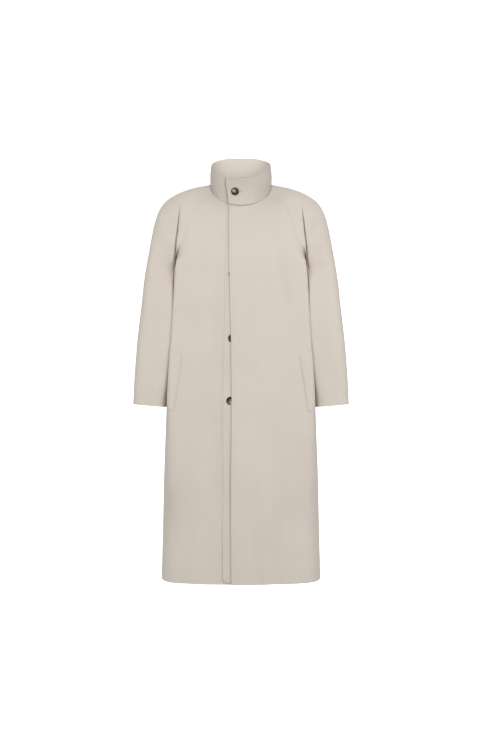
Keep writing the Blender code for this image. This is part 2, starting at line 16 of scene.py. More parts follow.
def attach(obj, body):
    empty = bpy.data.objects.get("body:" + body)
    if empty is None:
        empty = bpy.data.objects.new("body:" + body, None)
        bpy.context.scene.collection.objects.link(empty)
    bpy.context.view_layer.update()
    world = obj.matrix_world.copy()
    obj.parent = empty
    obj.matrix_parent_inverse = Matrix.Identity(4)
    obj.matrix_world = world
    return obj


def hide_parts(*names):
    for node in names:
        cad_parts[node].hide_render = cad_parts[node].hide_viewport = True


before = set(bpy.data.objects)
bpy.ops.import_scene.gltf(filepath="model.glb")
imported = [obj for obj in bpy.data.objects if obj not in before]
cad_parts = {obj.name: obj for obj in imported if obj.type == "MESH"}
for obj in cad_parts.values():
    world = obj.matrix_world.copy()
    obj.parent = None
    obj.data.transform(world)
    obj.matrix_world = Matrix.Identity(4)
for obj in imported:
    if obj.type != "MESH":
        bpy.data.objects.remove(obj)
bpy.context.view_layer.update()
BODY_NAME = "root"


def table(name, columns, *rows):
    """Rows of values with named columns."""
    return tuple(map(namedtuple(name, columns)._make, rows))


# Cloth
CLOTH = 0.0014
COLLAR_CLOTH = 0.0026
STRIP_CLOTH = 0.0014
WELT_CLOTH = 0.0012
SAME_POINT = 1e-6  # panels whose points agree this well are sewn together there
MITRE = 0.35  # the least cosine by which a wall is lengthened where two panels meet in a fold
STRIP_GAP = 0.0005
STRIP_HANGS = 0.0024  # how much further the strip's lower end hangs from the front
STRIP_HANGS_FROM = 0.880
STRIP_HANGS_FULL = 1.120
WELT_GAP = 0.00045
COLLAR_SINK = 0.0005  # how far the collar's lower edge is sewn in
RIM_STEPS = (0.18, 0.5, 0.82)  # how far across the wall the points of a rounded edge lie

# The lap at the front
LIFT = 0.007  # how far the left front stands out from the right front
LIFT_ENDS = 0.095
LIFT_ENDS_BEFORE_SEAM = 0.8
LIFT_FADE = 0.6
LIFT_AT_COLLAR_TOP = 0.0045
LIFT_GROWS = 0.5  # by which share it is more at the hem
LIFT_GROWS_FROM = 0.690
LIFT_GROWN = 0.860
UNDER_EDGE = 0.035
STRIP_INNER_EDGE = 0.012
STRIP_TOP = 0.100
STRIP_ABOVE_HEM = 0.006
STRIP_CORNER = 0.012
STRIP_ROW_CLEAR = 0.001

# Points along and round each panel
FINE = 500  # samples along a row before its columns are spaced
YOKE_ROWS = 64
BODY_ROWS = 190
SLEEVE_ROWS = 88
FRONT_COLUMNS = 84
BACK_COLUMNS = 150
SLEEVE_COLUMNS = 64
COLLAR_COLUMNS = 230
COLLAR_ROWS = 26
STRIP_COLUMNS = 14
WELT_ROWS = 44
WELT_COLUMNS = 14
CORNER_STEPS = 8
LAP_FINE = FINE // 5
FLAP_COLUMNS = COLLAR_COLUMNS // 5
BEND_SHARE = 0.012  # metres that a turn of one radian counts for when columns are spaced
SEAM_SHARE = 0.009  # and that the ends of a row count for
SEAM_REACH = 0.003
ROW_CLEAR = 0.4  # a row this close to an extra one, in rows, is left out

# The upper fronts and back, down the raglan seam from the neck to the underarm, wearer's left. A row turns
# to its seam at the corner, a share of the seam's x, and the more tightly the larger the weight. The sleeve
# leaves the seam in the row's direction, or straight to the front or back where cleft is 1. The reaches say
# how far its curve is drawn out at that seam and at the one over the arm.
YOKE_COLUMNS = "along centre_y centre_z seam_x seam_y seam_z corner weight cleft seam_reach over_reach"
FRONT_YOKE = table(
    "FrontYoke",
    YOKE_COLUMNS,
    (0.0, -0.086, -0.077, 0.0810, -0.040, -0.0380, 0.680, 0.86, 0.00, 0.0180, 0.0180),
    (0.2, -0.101, -0.106, 0.1200, -0.085, -0.0740, 0.711, 0.90, 0.00, 0.0350, 0.0450),
    (0.4, -0.119, -0.146, 0.1455, -0.105, -0.1230, 0.745, 0.95, 0.00, 0.0500, 0.0620),
    (0.6, -0.131, -0.190, 0.1600, -0.112, -0.1760, 0.800, 1.20, 0.10, 0.0550, 0.0750),
    (0.8, -0.139, -0.226, 0.1830, -0.102, -0.2110, 0.910, 8.00, 0.60, 0.0300, 0.0850),
    (1.0, -0.144, -0.262, 0.1990, 0.000, -0.2620, 0.955, 20.0, 1.00, 0.1056, 0.1056),
)
BACK_YOKE = table(
    "BackYoke",
    YOKE_COLUMNS,
    (0.0, 0.076, 0.010, 0.0705, 0.049, 0.0040, 0.609, 0.91, 0.00, 0.0180, 0.0180),
    (0.2, 0.099, -0.030, 0.1080, 0.084, -0.0380, 0.667, 0.90, 0.00, 0.0350, 0.0450),
    (0.4, 0.117, -0.080, 0.1380, 0.104, -0.0880, 0.711, 0.95, 0.00, 0.0500, 0.0620),
    (0.6, 0.129, -0.135, 0.1600, 0.110, -0.1450, 0.770, 1.10, 0.10, 0.0550, 0.0750),
    (0.8, 0.136, -0.195, 0.1840, 0.093, -0.2050, 0.900, 2.20, 0.65, 0.0300, 0.0850),
    (1.0, 0.140, -0.262, 0.1990, 0.000, -0.2620, 0.955, 4.00, 1.00, 0.1173, 0.1173),
)

# By how much the front's corner is nearer its seam just above the underarm, and where
ARMPIT_CORNER = 0.040
ARMPIT_ALONG = 0.90
ARMPIT_REACH = 0.055
BACK_MOST_WEIGHT = 4.0  # the back turns more softly to its side seams than the front

# The seam over the top of the shoulder and arm, beside the rows above
OVERARM = table(
    "Overarm",
    "along x y z",
    (0.0, 0.092, 0.000, -0.0040),
    (0.2, 0.150, 0.000, -0.0165),
    (0.4, 0.201, 0.000, -0.0375),
    (0.6, 0.236, -0.001, -0.0675),
    (0.8, 0.258, -0.004, -0.1220),
    (1.0, 0.280, -0.020, -0.2500),
)

# The body from the underarm to the hem
BODY = table(
    "Body",
    "down half_width side_y front_y back_y corner weight",
    (0.262, 0.1990, 0.000, -0.1440, 0.1400, 0.955, 20.0),
    (0.300, 0.2067, 0.036, -0.1465, 0.1415, 0.932, 20.0),
    (0.360, 0.2116, 0.051, -0.1490, 0.1420, 0.928, 20.0),
    (0.500, 0.2193, 0.060, -0.1515, 0.1430, 0.933, 20.0),
    (0.600, 0.2240, 0.055, -0.1522, 0.1435, 0.942, 15.0),
    (0.680, 0.2256, 0.042, -0.1525, 0.1440, 0.955, 9.0),
    (0.930, 0.2315, 0.012, -0.1550, 0.1480, 0.997, 2.2),
    (1.175, 0.2370, 0.000, -0.1580, 0.1520, 1.000, 1.8),
)

# The sleeve from the underarm to the cuff
SLEEVE = table(
    "Sleeve",
    "down outer_x outer_y inner_x inner_y front_depth back_depth slant",
    (0.256, 0.2800, -0.0200, 0.1990, 0.000, 0.095, 0.088, 0.012),
    (0.300, 0.2865, -0.0300, 0.2022, -0.033, 0.088, 0.086, 0.011),
    (0.360, 0.2925, -0.0390, 0.2050, -0.050, 0.083, 0.081, 0.010),
    (0.470, 0.3045, -0.0500, 0.2105, -0.057, 0.078, 0.075, 0.009),
    (0.570, 0.3125, -0.0560, 0.2160, -0.060, 0.072, 0.070, 0.009),
    (0.663, 0.3170, -0.0610, 0.2200, -0.063, 0.067, 0.063, 0.009),
)

# The front of the sleeve is drawn by these weights towards its corners beside and away from the body
UPPER_FRONT_PULL = 3.0
UPPER_PULL_STARTS = 0.6  # where that begins down the raglan seam
CORNERS_START = 0.75
INNER_CORNER = 14.0
CUFF_CORNER = 1.1
CUFF_CORNER_STARTS = 0.380
OUTER_CORNER = 1.5
# and leans this far against the body
UNDERARM_LEAN = 0.006
SLEEVE_LEAN = 0.010
LEAN_FULL = 0.400
BEZIER_BULGE = 0.75  # the share of its corners' distance by which a Bezier curve bulges

# The lap's two edges, down the front
FRONT_EDGE = table(
    "FrontEdge",
    "down left_edge strip_edge",
    (0.075, -0.0350, -0.0390),
    (0.300, -0.0325, -0.0460),
    (0.460, -0.0285, -0.0485),
    (0.650, -0.0265, -0.0545),
    (0.900, -0.0280, -0.0515),
    (1.180, -0.0272, -0.0520),
)

# Folds and creases, each a straight trough, or a ridge where its depth is negative, on the front (-1) or
# back (+1). It is deepest at its lower end when swell is 1 and in its middle when swell is 0. A sharp one
# has a pressed line at its bottom.
FOLDS = table(
    "Fold",
    "face top_x top_z low_x low_z depth half_width swell sharp",
    (-1, 0.176, -0.056, 0.1945, -0.240, 0.0140, 0.0013, 1, 1),
    (-1, -0.176, -0.056, -0.1945, -0.240, 0.0140, 0.0013, 1, 1),
    (1, 0.176, -0.070, 0.1895, -0.205, 0.0120, 0.0030, 1, 1),
    (1, -0.176, -0.070, -0.1895, -0.205, 0.0120, 0.0030, 1, 1),
    (-1, -0.108, -0.120, -0.126, -0.400, 0.0065, 0.018, 0, 0),
    (-1, 0.094, -0.110, 0.136, -0.460, 0.0065, 0.018, 0, 0),
    (-1, 0.034, -0.640, 0.044, -1.175, 0.0060, 0.022, 1, 0),
    (-1, -0.165, -0.780, -0.172, -1.175, 0.0022, 0.030, 1, 0),
    (-1, 0.150, -0.800, 0.160, -1.175, 0.0030, 0.032, 1, 0),
    (1, 0.000, -0.260, 0.000, -1.175, 0.0100, 0.045, 1, 0),
    (1, 0.110, -0.420, 0.120, -1.175, 0.0080, 0.040, 1, 0),
    (1, -0.115, -0.360, -0.125, -1.175, 0.0080, 0.040, 1, 0),
    (-1, -0.066, -0.210, -0.064, -0.740, 0.0055, 0.009, 0, 0),
    (-1, -0.061, -0.640, -0.058, -1.080, 0.0045, 0.010, 0, 0),
    (-1, -0.150, -0.300, -0.158, -0.500, 0.0014, 0.010, 0, 0),
    (-1, 0.060, -0.150, 0.070, -0.360, -0.0014, 0.016, 0, 0),
    (-1, 0.165, -0.260, 0.150, -0.420, 0.0016, 0.009, 0, 0),
    (-1, -0.142, -0.660, -0.150, -1.175, 0.0042, 0.016, 1, 0),
    (-1, 0.095, -0.880, 0.100, -1.175, 0.0020, 0.016, 1, 0),
    (-1, 0.252, -0.330, 0.236, -0.420, 0.0016, 0.010, 0, 0),
    (-1, 0.282, -0.430, 0.256, -0.530, 0.0014, 0.011, 0, 0),
    (-1, -0.246, -0.360, -0.238, -0.470, 0.0015, 0.009, 0, 0),
    (-1, -0.284, -0.460, -0.262, -0.560, 0.0016, 0.012, 0, 0),
    (-1, 0.262, -0.520, 0.258, -0.663, 0.0012, 0.013, 1, 0),
    (-1, -0.252, -0.540, -0.256, -0.663, 0.0012, 0.013, 1, 0),
    (1, 0.060, -0.110, 0.084, -0.330, 0.0022, 0.014, 0, 0),
    (1, -0.066, -0.100, -0.090, -0.300, 0.0020, 0.013, 0, 0),
    (1, 0.150, -0.250, 0.128, -0.420, 0.0020, 0.010, 0, 0),
    (1, -0.152, -0.260, -0.134, -0.400, 0.0018, 0.010, 0, 0),
    (1, 0.056, -0.700, 0.060, -1.175, -0.0030, 0.022, 1, 0),
    (1, -0.060, -0.760, -0.066, -1.175, -0.0030, 0.022, 1, 0),
    (1, 0.270, -0.380, 0.238, -0.450, 0.0022, 0.010, 0, 0),
    (1, 0.284, -0.450, 0.246, -0.520, 0.0018, 0.010, 0, 0),
    (1, -0.266, -0.370, -0.240, -0.440, 0.0020, 0.010, 0, 0),
    (1, -0.286, -0.470, -0.248, -0.550, 0.0020, 0.011, 0, 0),
)
FOLD_FREE_Y = 0.025  # folds stay this far clear of the side, underarm and overarm seams, by |y|
FOLD_FULL_Y = 0.070
SHARP_RISE = 0.5  # a sharp fold is at its deepest after this share of its length
FOLD_RUN_OUT = 0.25  # a fold runs out past its lower end over this share of its length

# The cloth's slight unevenness: waves across and along it
WAVES = table(
    "Wave",
    "height across along start",
    (0.00035, 0.118, 0.410, 0.4),
    (0.00030, 0.071, -0.330, 2.1),
    (0.00022, 0.043, 0.190, 4.4),
)

# The collar: a ring that leans forward, on the neck edge of the panels
COLLAR_HALF_WIDTH = 0.0885
COLLAR_FRONT_Y = -0.083
COLLAR_BACK_Y = 0.079
COLLAR_FRONT_Z = 0.002
COLLAR_BACK_Z = 0.088
COLLAR_SIDE_FRONT_Z = 0.048  # the rim at the sides, where it begins to dip to the front
COLLAR_SIDE_BACK_Z = 0.066
COLLAR_FRONT_DIP = 2.8  # the power of its curve: how late each part of the rim leaves its middle's height
COLLAR_BACK_DIP = 3.2
COLLAR_BACK_FROM = 0.2  # where, as shares of its depth, the front's height gives way to the back's
COLLAR_BACK_FULL = 0.8
COLLAR_SQUARE = 2.5
COLLAR_BULGE = 0.002
FLAP_SLANT = 0.006
FLAP_SLANT_LENGTH = 0.040
FLAP_CORNER = 0.010
FLAP_PROUD = 0.0026  # how far the flap stands out from the front below it
FLAP_PROUD_AT_TOP = 0.4  # and which share of it at the top
FLAP_LENGTH = 0.105
FLAP_FADE = 0.5
FLAP_CURL = 0.0022  # how far more its end stands out
FLAP_CURL_LENGTH = 0.010
FLAP_DROP = 0.005  # how far its end's top lies below the rim behind it
FLAP_DROP_LENGTH = 0.045
END_TROUGH = 0.0065  # how far the cloth behind its end is pressed in, along a sharp line
END_TROUGH_WIDTH = 0.0014
END_TROUGH_TOP = 0.15  # it fades over this share of the height at the top
BASE_TROUGH = 0.0045  # and the front along its lower edge
BASE_TROUGH_WIDTH = 0.0022
BASE_TROUGH_ENDS = 0.062
BASE_TROUGH_FADE = 0.030
END_COLUMNS = np.linspace(-0.012, 0.004, 25)  # extra columns of points behind the flap's end
CREASE_EASE = 0.6  # the share of a crease's length over which it begins, and runs out past its end
# Its creases, by degrees round the neck from the front to the left and shares of its height
COLLAR_CREASES = table(
    "CollarCrease",
    "top_angle top_up low_angle low_up depth half_width",
    (-80, 0.26, -40, 0.08, 0.0030, 0.0200),
    (-50, 0.50, -37, 0.16, 0.0030, 0.0026),
    (-62, 0.50, -42, 0.08, -0.0024, 0.0050),
    (62, 0.50, 46, 0.00, 0.0016, 0.0050),
    (-4, 0.66, 16, 0.72, 0.0008, 0.0035),
    (150, 0.75, 130, 0.10, 0.0016, 0.0060),
    (-148, 0.65, -126, 0.10, 0.0016, 0.0060),
)

# The pockets: slanted welts, by their edge towards the front, wearer's left
Welt = namedtuple("Welt", "x z")
WELT_TOP = Welt(0.1683, -0.514)
WELT_LOW = Welt(0.1938, -0.680)
WELT_WIDTH = 0.040
WELT_RISE = 0.020

# Sewing
SEAM_DIP = 0.00035  # how far the cloth is drawn in at a seam
SEAM_DIP_WIDTH = 0.0022
PUCKER_SHARE = 0.35  # and how unevenly, along it
PUCKER_LENGTH = 0.013
STITCH_DIP = 0.0001
HEM_DEPTH = 0.032
CUFF_DEPTH = 0.032
ROW_STEPS = np.array([-0.0026, -0.0013, 0.0, 0.0013, 0.0026])  # extra rows round a line of stitches
EDGE_STEPS = np.array([0.0008, 0.0022, 0.0045])  # and beside an edge
STITCH_INSET = 0.002  # how far a line of stitches ends before an edge
EDGE_STITCH = 0.006
STRIP_STITCH = 0.004
SEAM_STITCH = 0.0055
SEAM_STITCH_ROWS = YOKE_ROWS - 6
WELT_STITCH = 0.0020
STITCH_LENGTH = 0.0027
STITCH_GAP = 0.0008
THREAD = 0.00026  # its radius
THREAD_SIDES = 6
THREAD_ALONG = (0.0, 0.14, 0.36, 0.64, 0.86, 1.0)
THREAD_HEIGHT = (-1.0, 0.25, 0.75, 0.75, 0.25, -1.0)  # in radii above the cloth

# Buttons and buttonholes
SPOT_REACH = 0.02  # rows this near in height are searched for a button's place
BUTTON_RADIUS = 0.0115
BUTTON_THICKNESS = 0.0025
BUTTON_SIDES = 72
BUTTON_HOLE_RADIUS = 0.0010
BUTTON_HOLE_PLACE = 0.0022
BUTTON_HOLE_SIDES = 20
BUTTON_SEAT = 0.0005
# A button's outline from its back to the middle of its face, as shares of its radius and its thickness
BUTTON_OUTLINE = (
    (0.86, 0.00), (0.93, 0.06), (0.985, 0.22), (1.00, 0.44), (0.99, 0.68), (0.955, 0.88), (0.90, 0.985),
    (0.84, 1.00), (0.78, 0.965), (0.72, 0.86), (0.66, 0.755), (0.60, 0.71), (0.52, 0.70),
)
BUTTON_DISH = 0.70  # the height of the middle, as a share of the thickness
BUTTON_SHARP = 50.0  # degrees
STRAND = 0.00034  # the radius of a strand of its thread
STRAND_GAP = 1.7 * STRAND
STRAND_SINKS = 0.0006
STRAND_RISES = 0.0011
STRAND_SQUARE = 0.6
STRAND_STEPS = 9
# Each has an amber patch at a place on its face, in shares of its radius, of its own size and slant
ButtonPlace = namedtuple("ButtonPlace", "name x z patch_x patch_y patch_size slant")
COLLAR_BUTTON = ButtonPlace("button_collar", -0.0175, -0.0385, -0.22, 0.12, 0.62, 0.7)
FRONT_BUTTONS = (
    ButtonPlace("button_front_1", -0.0245, -0.283, 0.35, 0.30, 0.55, -0.5),
    ButtonPlace("button_front_2", -0.0258, -0.469, 0.55, -0.10, 0.50, 0.4),
    ButtonPlace("button_front_3", -0.0310, -0.648, 0.15, -0.50, 0.60, 0.3),
)
BUTTONHOLE_LENGTH = 0.027
BUTTONHOLE_HALF_WIDTH = 0.0013
BUTTONHOLE_BACK = 0.004  # how far the hole reaches behind the button's middle
BUTTONHOLE_STEPS = 64
BUTTONHOLE_STRAIGHT = 2.2
BUTTONHOLE_SQUARE = 1.6
CORD_WIDE = 0.00077  # the half width and height of its stitches
CORD_HIGH = 0.00042
CORD_SIDES = 8
SLIT_INSET = 0.00042
SLIT_HALF_THICKNESS = 0.0002

# Colours, as linear red, green and blue
CLOTH_LIGHT = (0.668, 0.604, 0.541)
CLOTH_DARK = (0.632, 0.568, 0.505)
PAINTED_LIT_INSIDE_LIGHT = (0.800, 0.727, 0.655)  # painted light: the inside of the collar, a lighter copy of the cloth that stands in for the light it catches
PAINTED_LIT_INSIDE_DARK = (0.770, 0.697, 0.625)
COLLAR_PAINTED_SHADE = (-0.085, 0.97, -0.010, 0.84)  # painted shade, darker upwards: a height and a share of the colour, low and high
THREAD_COLOUR = (0.640, 0.572, 0.498)
BUTTON_YARN = (0.300, 0.190, 0.090)
# painted shadow: the colour of the dark sheet in each buttonhole's opening
SLIT_SHADOW_COLOUR = (0.35, 0.31, 0.26)
# Specks: the scale of their noise, the share of the colour in the dark ones, roughness and relief
Speckle = namedtuple("Speckle", "scale dark roughness relief")
THREAD_SPECKLE = Speckle(2600.0, 0.80, 0.62, 0.3)
SLIT_SHADOW_SPECKLE = Speckle(900.0, 0.70, 0.90, 0.0)
# The buttons' colours by how warm a cloud is, from dark brown to amber
TORTOISE = (
    (0.50, (0.0075, 0.0045, 0.0035)),
    (0.62, (0.022, 0.0095, 0.0045)),
    (0.70, (0.230, 0.100, 0.030)),
    (0.84, (0.560, 0.360, 0.165)),
)

# Light: its place, width, height and power
LIGHTS = table(
    "Light",
    "name place width height power",
    ("key", (1.2, -2.3, 0.10), 1.1, 1.0, 19.4),
    ("fill", (-0.8, -2.4, 0.0), 1.5, 1.3, 19.2),
    ("back", (0.4, 3.2, 1.2), 2.4, 1.8, 40.0),
    ("side_left", (-2.6, -0.3, -0.5), 1.2, 2.4, 11.0),
    ("side_right", (2.6, -0.3, -0.5), 1.2, 2.4, 11.0),
)
LIT_MIDDLE = (0.0, 0.0, -0.40)
WORLD_LEVEL = {"From Min": -0.6, "From Max": 0.8, "To Min": 0.33, "To Max": 0.66}

# The photograph's frame and its view
CAMERA_PLACE = (-0.003, -3.5, -0.570)
PIXEL = 0.003  # metres at the middle of the coat
FRAME_HEIGHT = 747
SENSOR = 36.0

# The floor and its surround
FLOOR_Z = -1.60
FLOOR_RINGS = (2.0, 6.0)
FLOOR_FLAT = 8.0
FLOOR_BEND = 6.0
DOME_HEIGHT = 10.0
FLOOR_SIDES = 96
FLOOR_STEPS = 12


def unit(vectors):
    """The same directions with length one."""
    return vectors / np.linalg.norm(vectors, axis=-1, keepdims=True)


def smooth(share):
    """An even ease from 0 to 1."""
    share = np.clip(share, 0.0, 1.0)
    return share * share * (3.0 - 2.0 * share)


def eased(value, start, full):
    """An even ease from 0 at start to 1 at full."""
    return smooth((value - start) / (full - start))


def interpolate(rows, at):
    """The row of a table at a value of its first column, on smooth curves through the rows."""
    table = np.array(rows)
    knots = table[:, 0]
    slopes = np.gradient(table, knots, axis=0)
    i = int(np.clip(np.searchsorted(knots, at) - 1, 0, len(knots) - 2))
    span = knots[i + 1] - knots[i]
    t = (at - knots[i]) / span
    values = table[i] + t * t * (3.0 - 2.0 * t) * (table[i + 1] - table[i])
    values = values + span * t * (1.0 - t) * ((1.0 - t) * slopes[i] - t * slopes[i + 1])
    return rows[0]._make(values)


def lengths_along(points):
    """The distance of each point from the first, along the line."""
    steps = np.linalg.norm(np.diff(points, axis=0), axis=1)
    return np.concatenate([[0.0], np.cumsum(steps)])


def at_lengths(points, measure, wanted):
    """Points of the line where the running measure has the wanted values."""
    return np.stack([np.interp(wanted, measure, points[:, k]) for k in range(points.shape[1])], axis=1)


def spaced(points, count):
    """The line as count points, closer together where it bends and next to its ends."""
    steps = np.diff(points[:, :3], axis=0)
    bends = np.arccos(np.clip((unit(steps[1:]) * unit(steps[:-1])).sum(axis=1), -1.0, 1.0))
    along = lengths_along(points[:, :3])
    measure = along.copy()
    measure[1:-1] += BEND_SHARE * np.cumsum(bends)
    measure[-1] += BEND_SHARE * bends.sum()
    measure += SEAM_SHARE * (1.0 - np.exp(-along / SEAM_REACH))
    measure += SEAM_SHARE * np.exp((along - along[-1]) / SEAM_REACH)
    return at_lengths(points, measure, np.linspace(measure[0], measure[-1], count))


def conic(a, corner, b, weight, count=FINE):
    """A curve from a to b, drawn by the weight towards a corner."""
    t = np.linspace(0.0, 1.0, count)[:, None]
    s = 1.0 - t
    near_a, near_corner, near_b = s * s, 2.0 * weight * s * t, t * t
    return (near_a * a + near_corner * corner + near_b * b) / (near_a + near_corner + near_b)


def centre_to_seam(centre, seam, corner, weight):
    """Half a section, from the middle of a panel to its seam."""
    return conic(centre, np.array([corner * seam[0], centre[1], centre[2]]), seam, weight)


def bezier(a, b, c, d, pull=1.0):
    """A curve from a to d, drawn harder towards b and c, so boxier, where pull is over 1."""
    t = np.linspace(0.0, 1.0, FINE)[:, None]
    s = 1.0 - t
    near_a, near_b, near_c, near_d = s**3, 3.0 * pull * s * s * t, 3.0 * pull * s * t * t, t**3
    return (near_a * a + near_b * b + near_c * c + near_d * d) / (near_a + near_b + near_c + near_d)


def yoke_line(along, face):
    """A fine row of the upper front (face -1) or back (+1), from the middle to the raglan seam."""
    row = interpolate(FRONT_YOKE if face < 0 else BACK_YOKE, along)
    centre = np.array([0.0, row.centre_y, row.centre_z])
    seam = np.array([row.seam_x, row.seam_y, row.seam_z])
    near = math.exp(-(((along - ARMPIT_ALONG) / ARMPIT_REACH) ** 2)) if face < 0 else 0.0
    corner = row.corner + ARMPIT_CORNER * near
    return row, centre_to_seam(centre, seam, corner, row.weight)


def body_line(down, face):
    """A fine row of the body below the underarm, from the middle to the side seam."""
    row = interpolate(BODY, down)
    centre = np.array([0.0, row.front_y if face < 0 else row.back_y, -down])
    seam = np.array([row.half_width, row.side_y, -down])
    weight = row.weight if face < 0 else min(row.weight, BACK_MOST_WEIGHT)
    return centre_to_seam(centre, seam, row.corner, weight)


def boxed(a, b, c, d, near_weight, far_weight):
    """A curve from a to d, flat between b and c, where it turns the more tightly the larger the weight."""
    middle = (b + c) / 2.0
    near = conic(a, b, middle, near_weight, FINE // 2 + 1)
    far = conic(middle, c, d, far_weight, FINE // 2 + 1)
    return np.concatenate([near, far[1:-1], [d]])


def evenly(line):
    """The line as fine points that lie evenly along it."""
    measure = lengths_along(line)
    return at_lengths(line, measure / measure[-1], np.linspace(0.0, 1.0, FINE))


def upper_sleeve_line(along, face):
    """A fine row of the upper sleeve, from the raglan seam to the seam over the arm."""
    row, panel = yoke_line(along, face)
    over = np.array(interpolate(OVERARM, along)[1:])
    forward = np.array([0.0, face, 0.0])
    leave = unit((1.0 - row.cleft) * unit(panel[-1] - panel[-2]) + row.cleft * forward)
    seam = panel[-1]
    if face > 0:
        return bezier(seam, seam + row.seam_reach * leave, over + row.over_reach * forward, over)
    pull = 1.0 + (UPPER_FRONT_PULL - 1.0) * eased(along, UPPER_PULL_STARTS, 1.0)
    soft = bezier(seam, seam + row.seam_reach * leave, over + row.over_reach * forward, over, pull)
    share = eased(along, CORNERS_START, 1.0)
    if share == 0.0:
        return soft
    full = 1.0 + 1.0 / (3.0 * UPPER_FRONT_PULL)  # the reaches, as multiples of the depth that they give
    near = seam + row.seam_reach / full * leave - [share * UNDERARM_LEAN, 0.0, 0.0]
    far = over + row.over_reach / full * forward
    crisp = boxed(seam, near, far, over, INNER_CORNER, OUTER_CORNER)
    soft, crisp = evenly(soft), evenly(crisp)
    return soft + share * (crisp - soft)


def lower_sleeve_line(down, face):
    """A fine half ring of the sleeve below the underarm, from its inner side to its outer side."""
    row = interpolate(SLEEVE, down)
    outer = np.array([row.outer_x, row.outer_y, -(down - row.slant / 2)])
    inner = np.array([row.inner_x, row.inner_y, -(down + row.slant / 2)])
    if face > 0:
        push = np.array([0.0, row.back_depth / BEZIER_BULGE, 0.0])
        return bezier(inner, inner + push, outer + push, outer)
    push = np.array([0.0, -row.front_depth, 0.0])
    lower = eased(down, SLEEVE[0].down, LEAN_FULL)
    lean = UNDERARM_LEAN + lower * (SLEEVE_LEAN - UNDERARM_LEAN)
    to_cuff = eased(down, CUFF_CORNER_STARTS, SLEEVE[-1].down)
    corner = INNER_CORNER + to_cuff * (CUFF_CORNER - INNER_CORNER)
    return boxed(inner, inner + push - [lean, 0.0, 0.0], outer + push, outer, corner, OUTER_CORNER)


def lap_line(line, edge_x):
    """The part of a front that is carried past the middle to its edge, as a mirror of the row itself."""
    x = np.linspace(edge_x, 0.0, LAP_FINE)[:-1]
    lap = at_lengths(line, line[:, 0], -x)
    lap[:, 0] = x
    return lap


def folded(points, side=1):
    """The points with the folds, creases and waves of the wearer's left (side 1) or right (-1) in them."""
    points = points.copy()
    x, y, z = side * points[..., 0], points[..., 1].copy(), points[..., 2]
    free = eased(np.abs(y), FOLD_FREE_Y, FOLD_FULL_Y)
    for fold in FOLDS:
        share = (fold.top_z - z) / (fold.top_z - fold.low_z)
        line_x = fold.top_x + share * (fold.low_x - fold.top_x)
        rise = smooth(share / (SHARP_RISE if fold.sharp else 1.0))
        if not fold.swell:
            rise = np.sin(math.pi * np.clip(share, 0.0, 1.0)) ** 2
        past_end = smooth(1.0 - (share - 1.0) / FOLD_RUN_OUT)
        away = np.abs(x - line_x) / fold.half_width
        shape = np.exp(-away) if fold.sharp else np.exp(-away * away)
        depth = fold.depth * rise * past_end * shape * free
        points[..., 1] -= np.where(y * fold.face > 0.0, fold.face * depth, 0.0)
    for wave in WAVES:
        turn = 2.0 * math.pi * (x / wave.across + z / wave.along) + wave.start
        points[..., 1] += wave.height * free * np.sign(y) * np.sin(turn)
    return points


def yoke_shares():
    return np.linspace(0.0, 1.0, YOKE_ROWS + 1)


def rows_between(top, low, count, stitch_depth):
    """Depths of the rows between two ends, with more of them at the hem and its line of stitches."""
    even = np.linspace(top, low, count + 1)[1:]
    extra = np.concatenate([low - EDGE_STEPS, low - stitch_depth + ROW_STEPS])
    far = np.abs(even[:, None] - extra).min(axis=1) > ROW_CLEAR * (low - top) / count
    far[-1] = True
    return np.sort(np.concatenate([even[far], extra]))


def body_downs():
    return rows_between(BODY[0].down, BODY[-1].down, BODY_ROWS, HEM_DEPTH)


def front_grid(edge_of_row, lift, side):
    """A front as a grid of outer points on the wearer's left. Each point's lift is its fourth value."""
    lines = [yoke_line(along, -1)[1] for along in yoke_shares()]
    lines += [body_line(down, -1) for down in body_downs()]
    rows = []
    for line in lines:
        whole = np.concatenate([lap_line(line, edge_of_row(-line[0, 2])), line])
        ends = min(LIFT_ENDS, LIFT_ENDS_BEFORE_SEAM * line[-1, 0])
        grown = 1.0 + LIFT_GROWS * eased(-line[0, 2], LIFT_GROWS_FROM, LIFT_GROWN)
        raised = lift * grown * smooth((ends - whole[:, 0]) / (LIFT_FADE * ends))
        row = np.column_stack([folded(whole, side), raised])
        rows.append(spaced(row, FRONT_COLUMNS + 1))
    return np.array(rows)


def back_grid():
    """The back's outer points, from its left side to its right."""
    lines = [yoke_line(along, 1)[1] for along in yoke_shares()]
    lines += [body_line(down, 1) for down in body_downs()]
    rows = []
    for line in lines:
        whole = np.concatenate([line[::-1], line[1:] * [-1.0, 1.0, 1.0]])
        rows.append(spaced(folded(whole), BACK_COLUMNS + 1))
    return np.array(rows)


def sleeve_grid(face, side):
    lines = [upper_sleeve_line(along, face) for along in yoke_shares()]
    downs = rows_between(SLEEVE[0].down, SLEEVE[-1].down, SLEEVE_ROWS, CUFF_DEPTH)
    lines += [lower_sleeve_line(down, face) for down in downs]
    return np.array([spaced(folded(line, side), SLEEVE_COLUMNS + 1) for line in lines])


def mirrored(grid):
    """The grid on the wearer's other side, with its columns still running the same way round the body."""
    other = grid[:, ::-1].copy()
    other[..., 0] *= -1.0
    return other


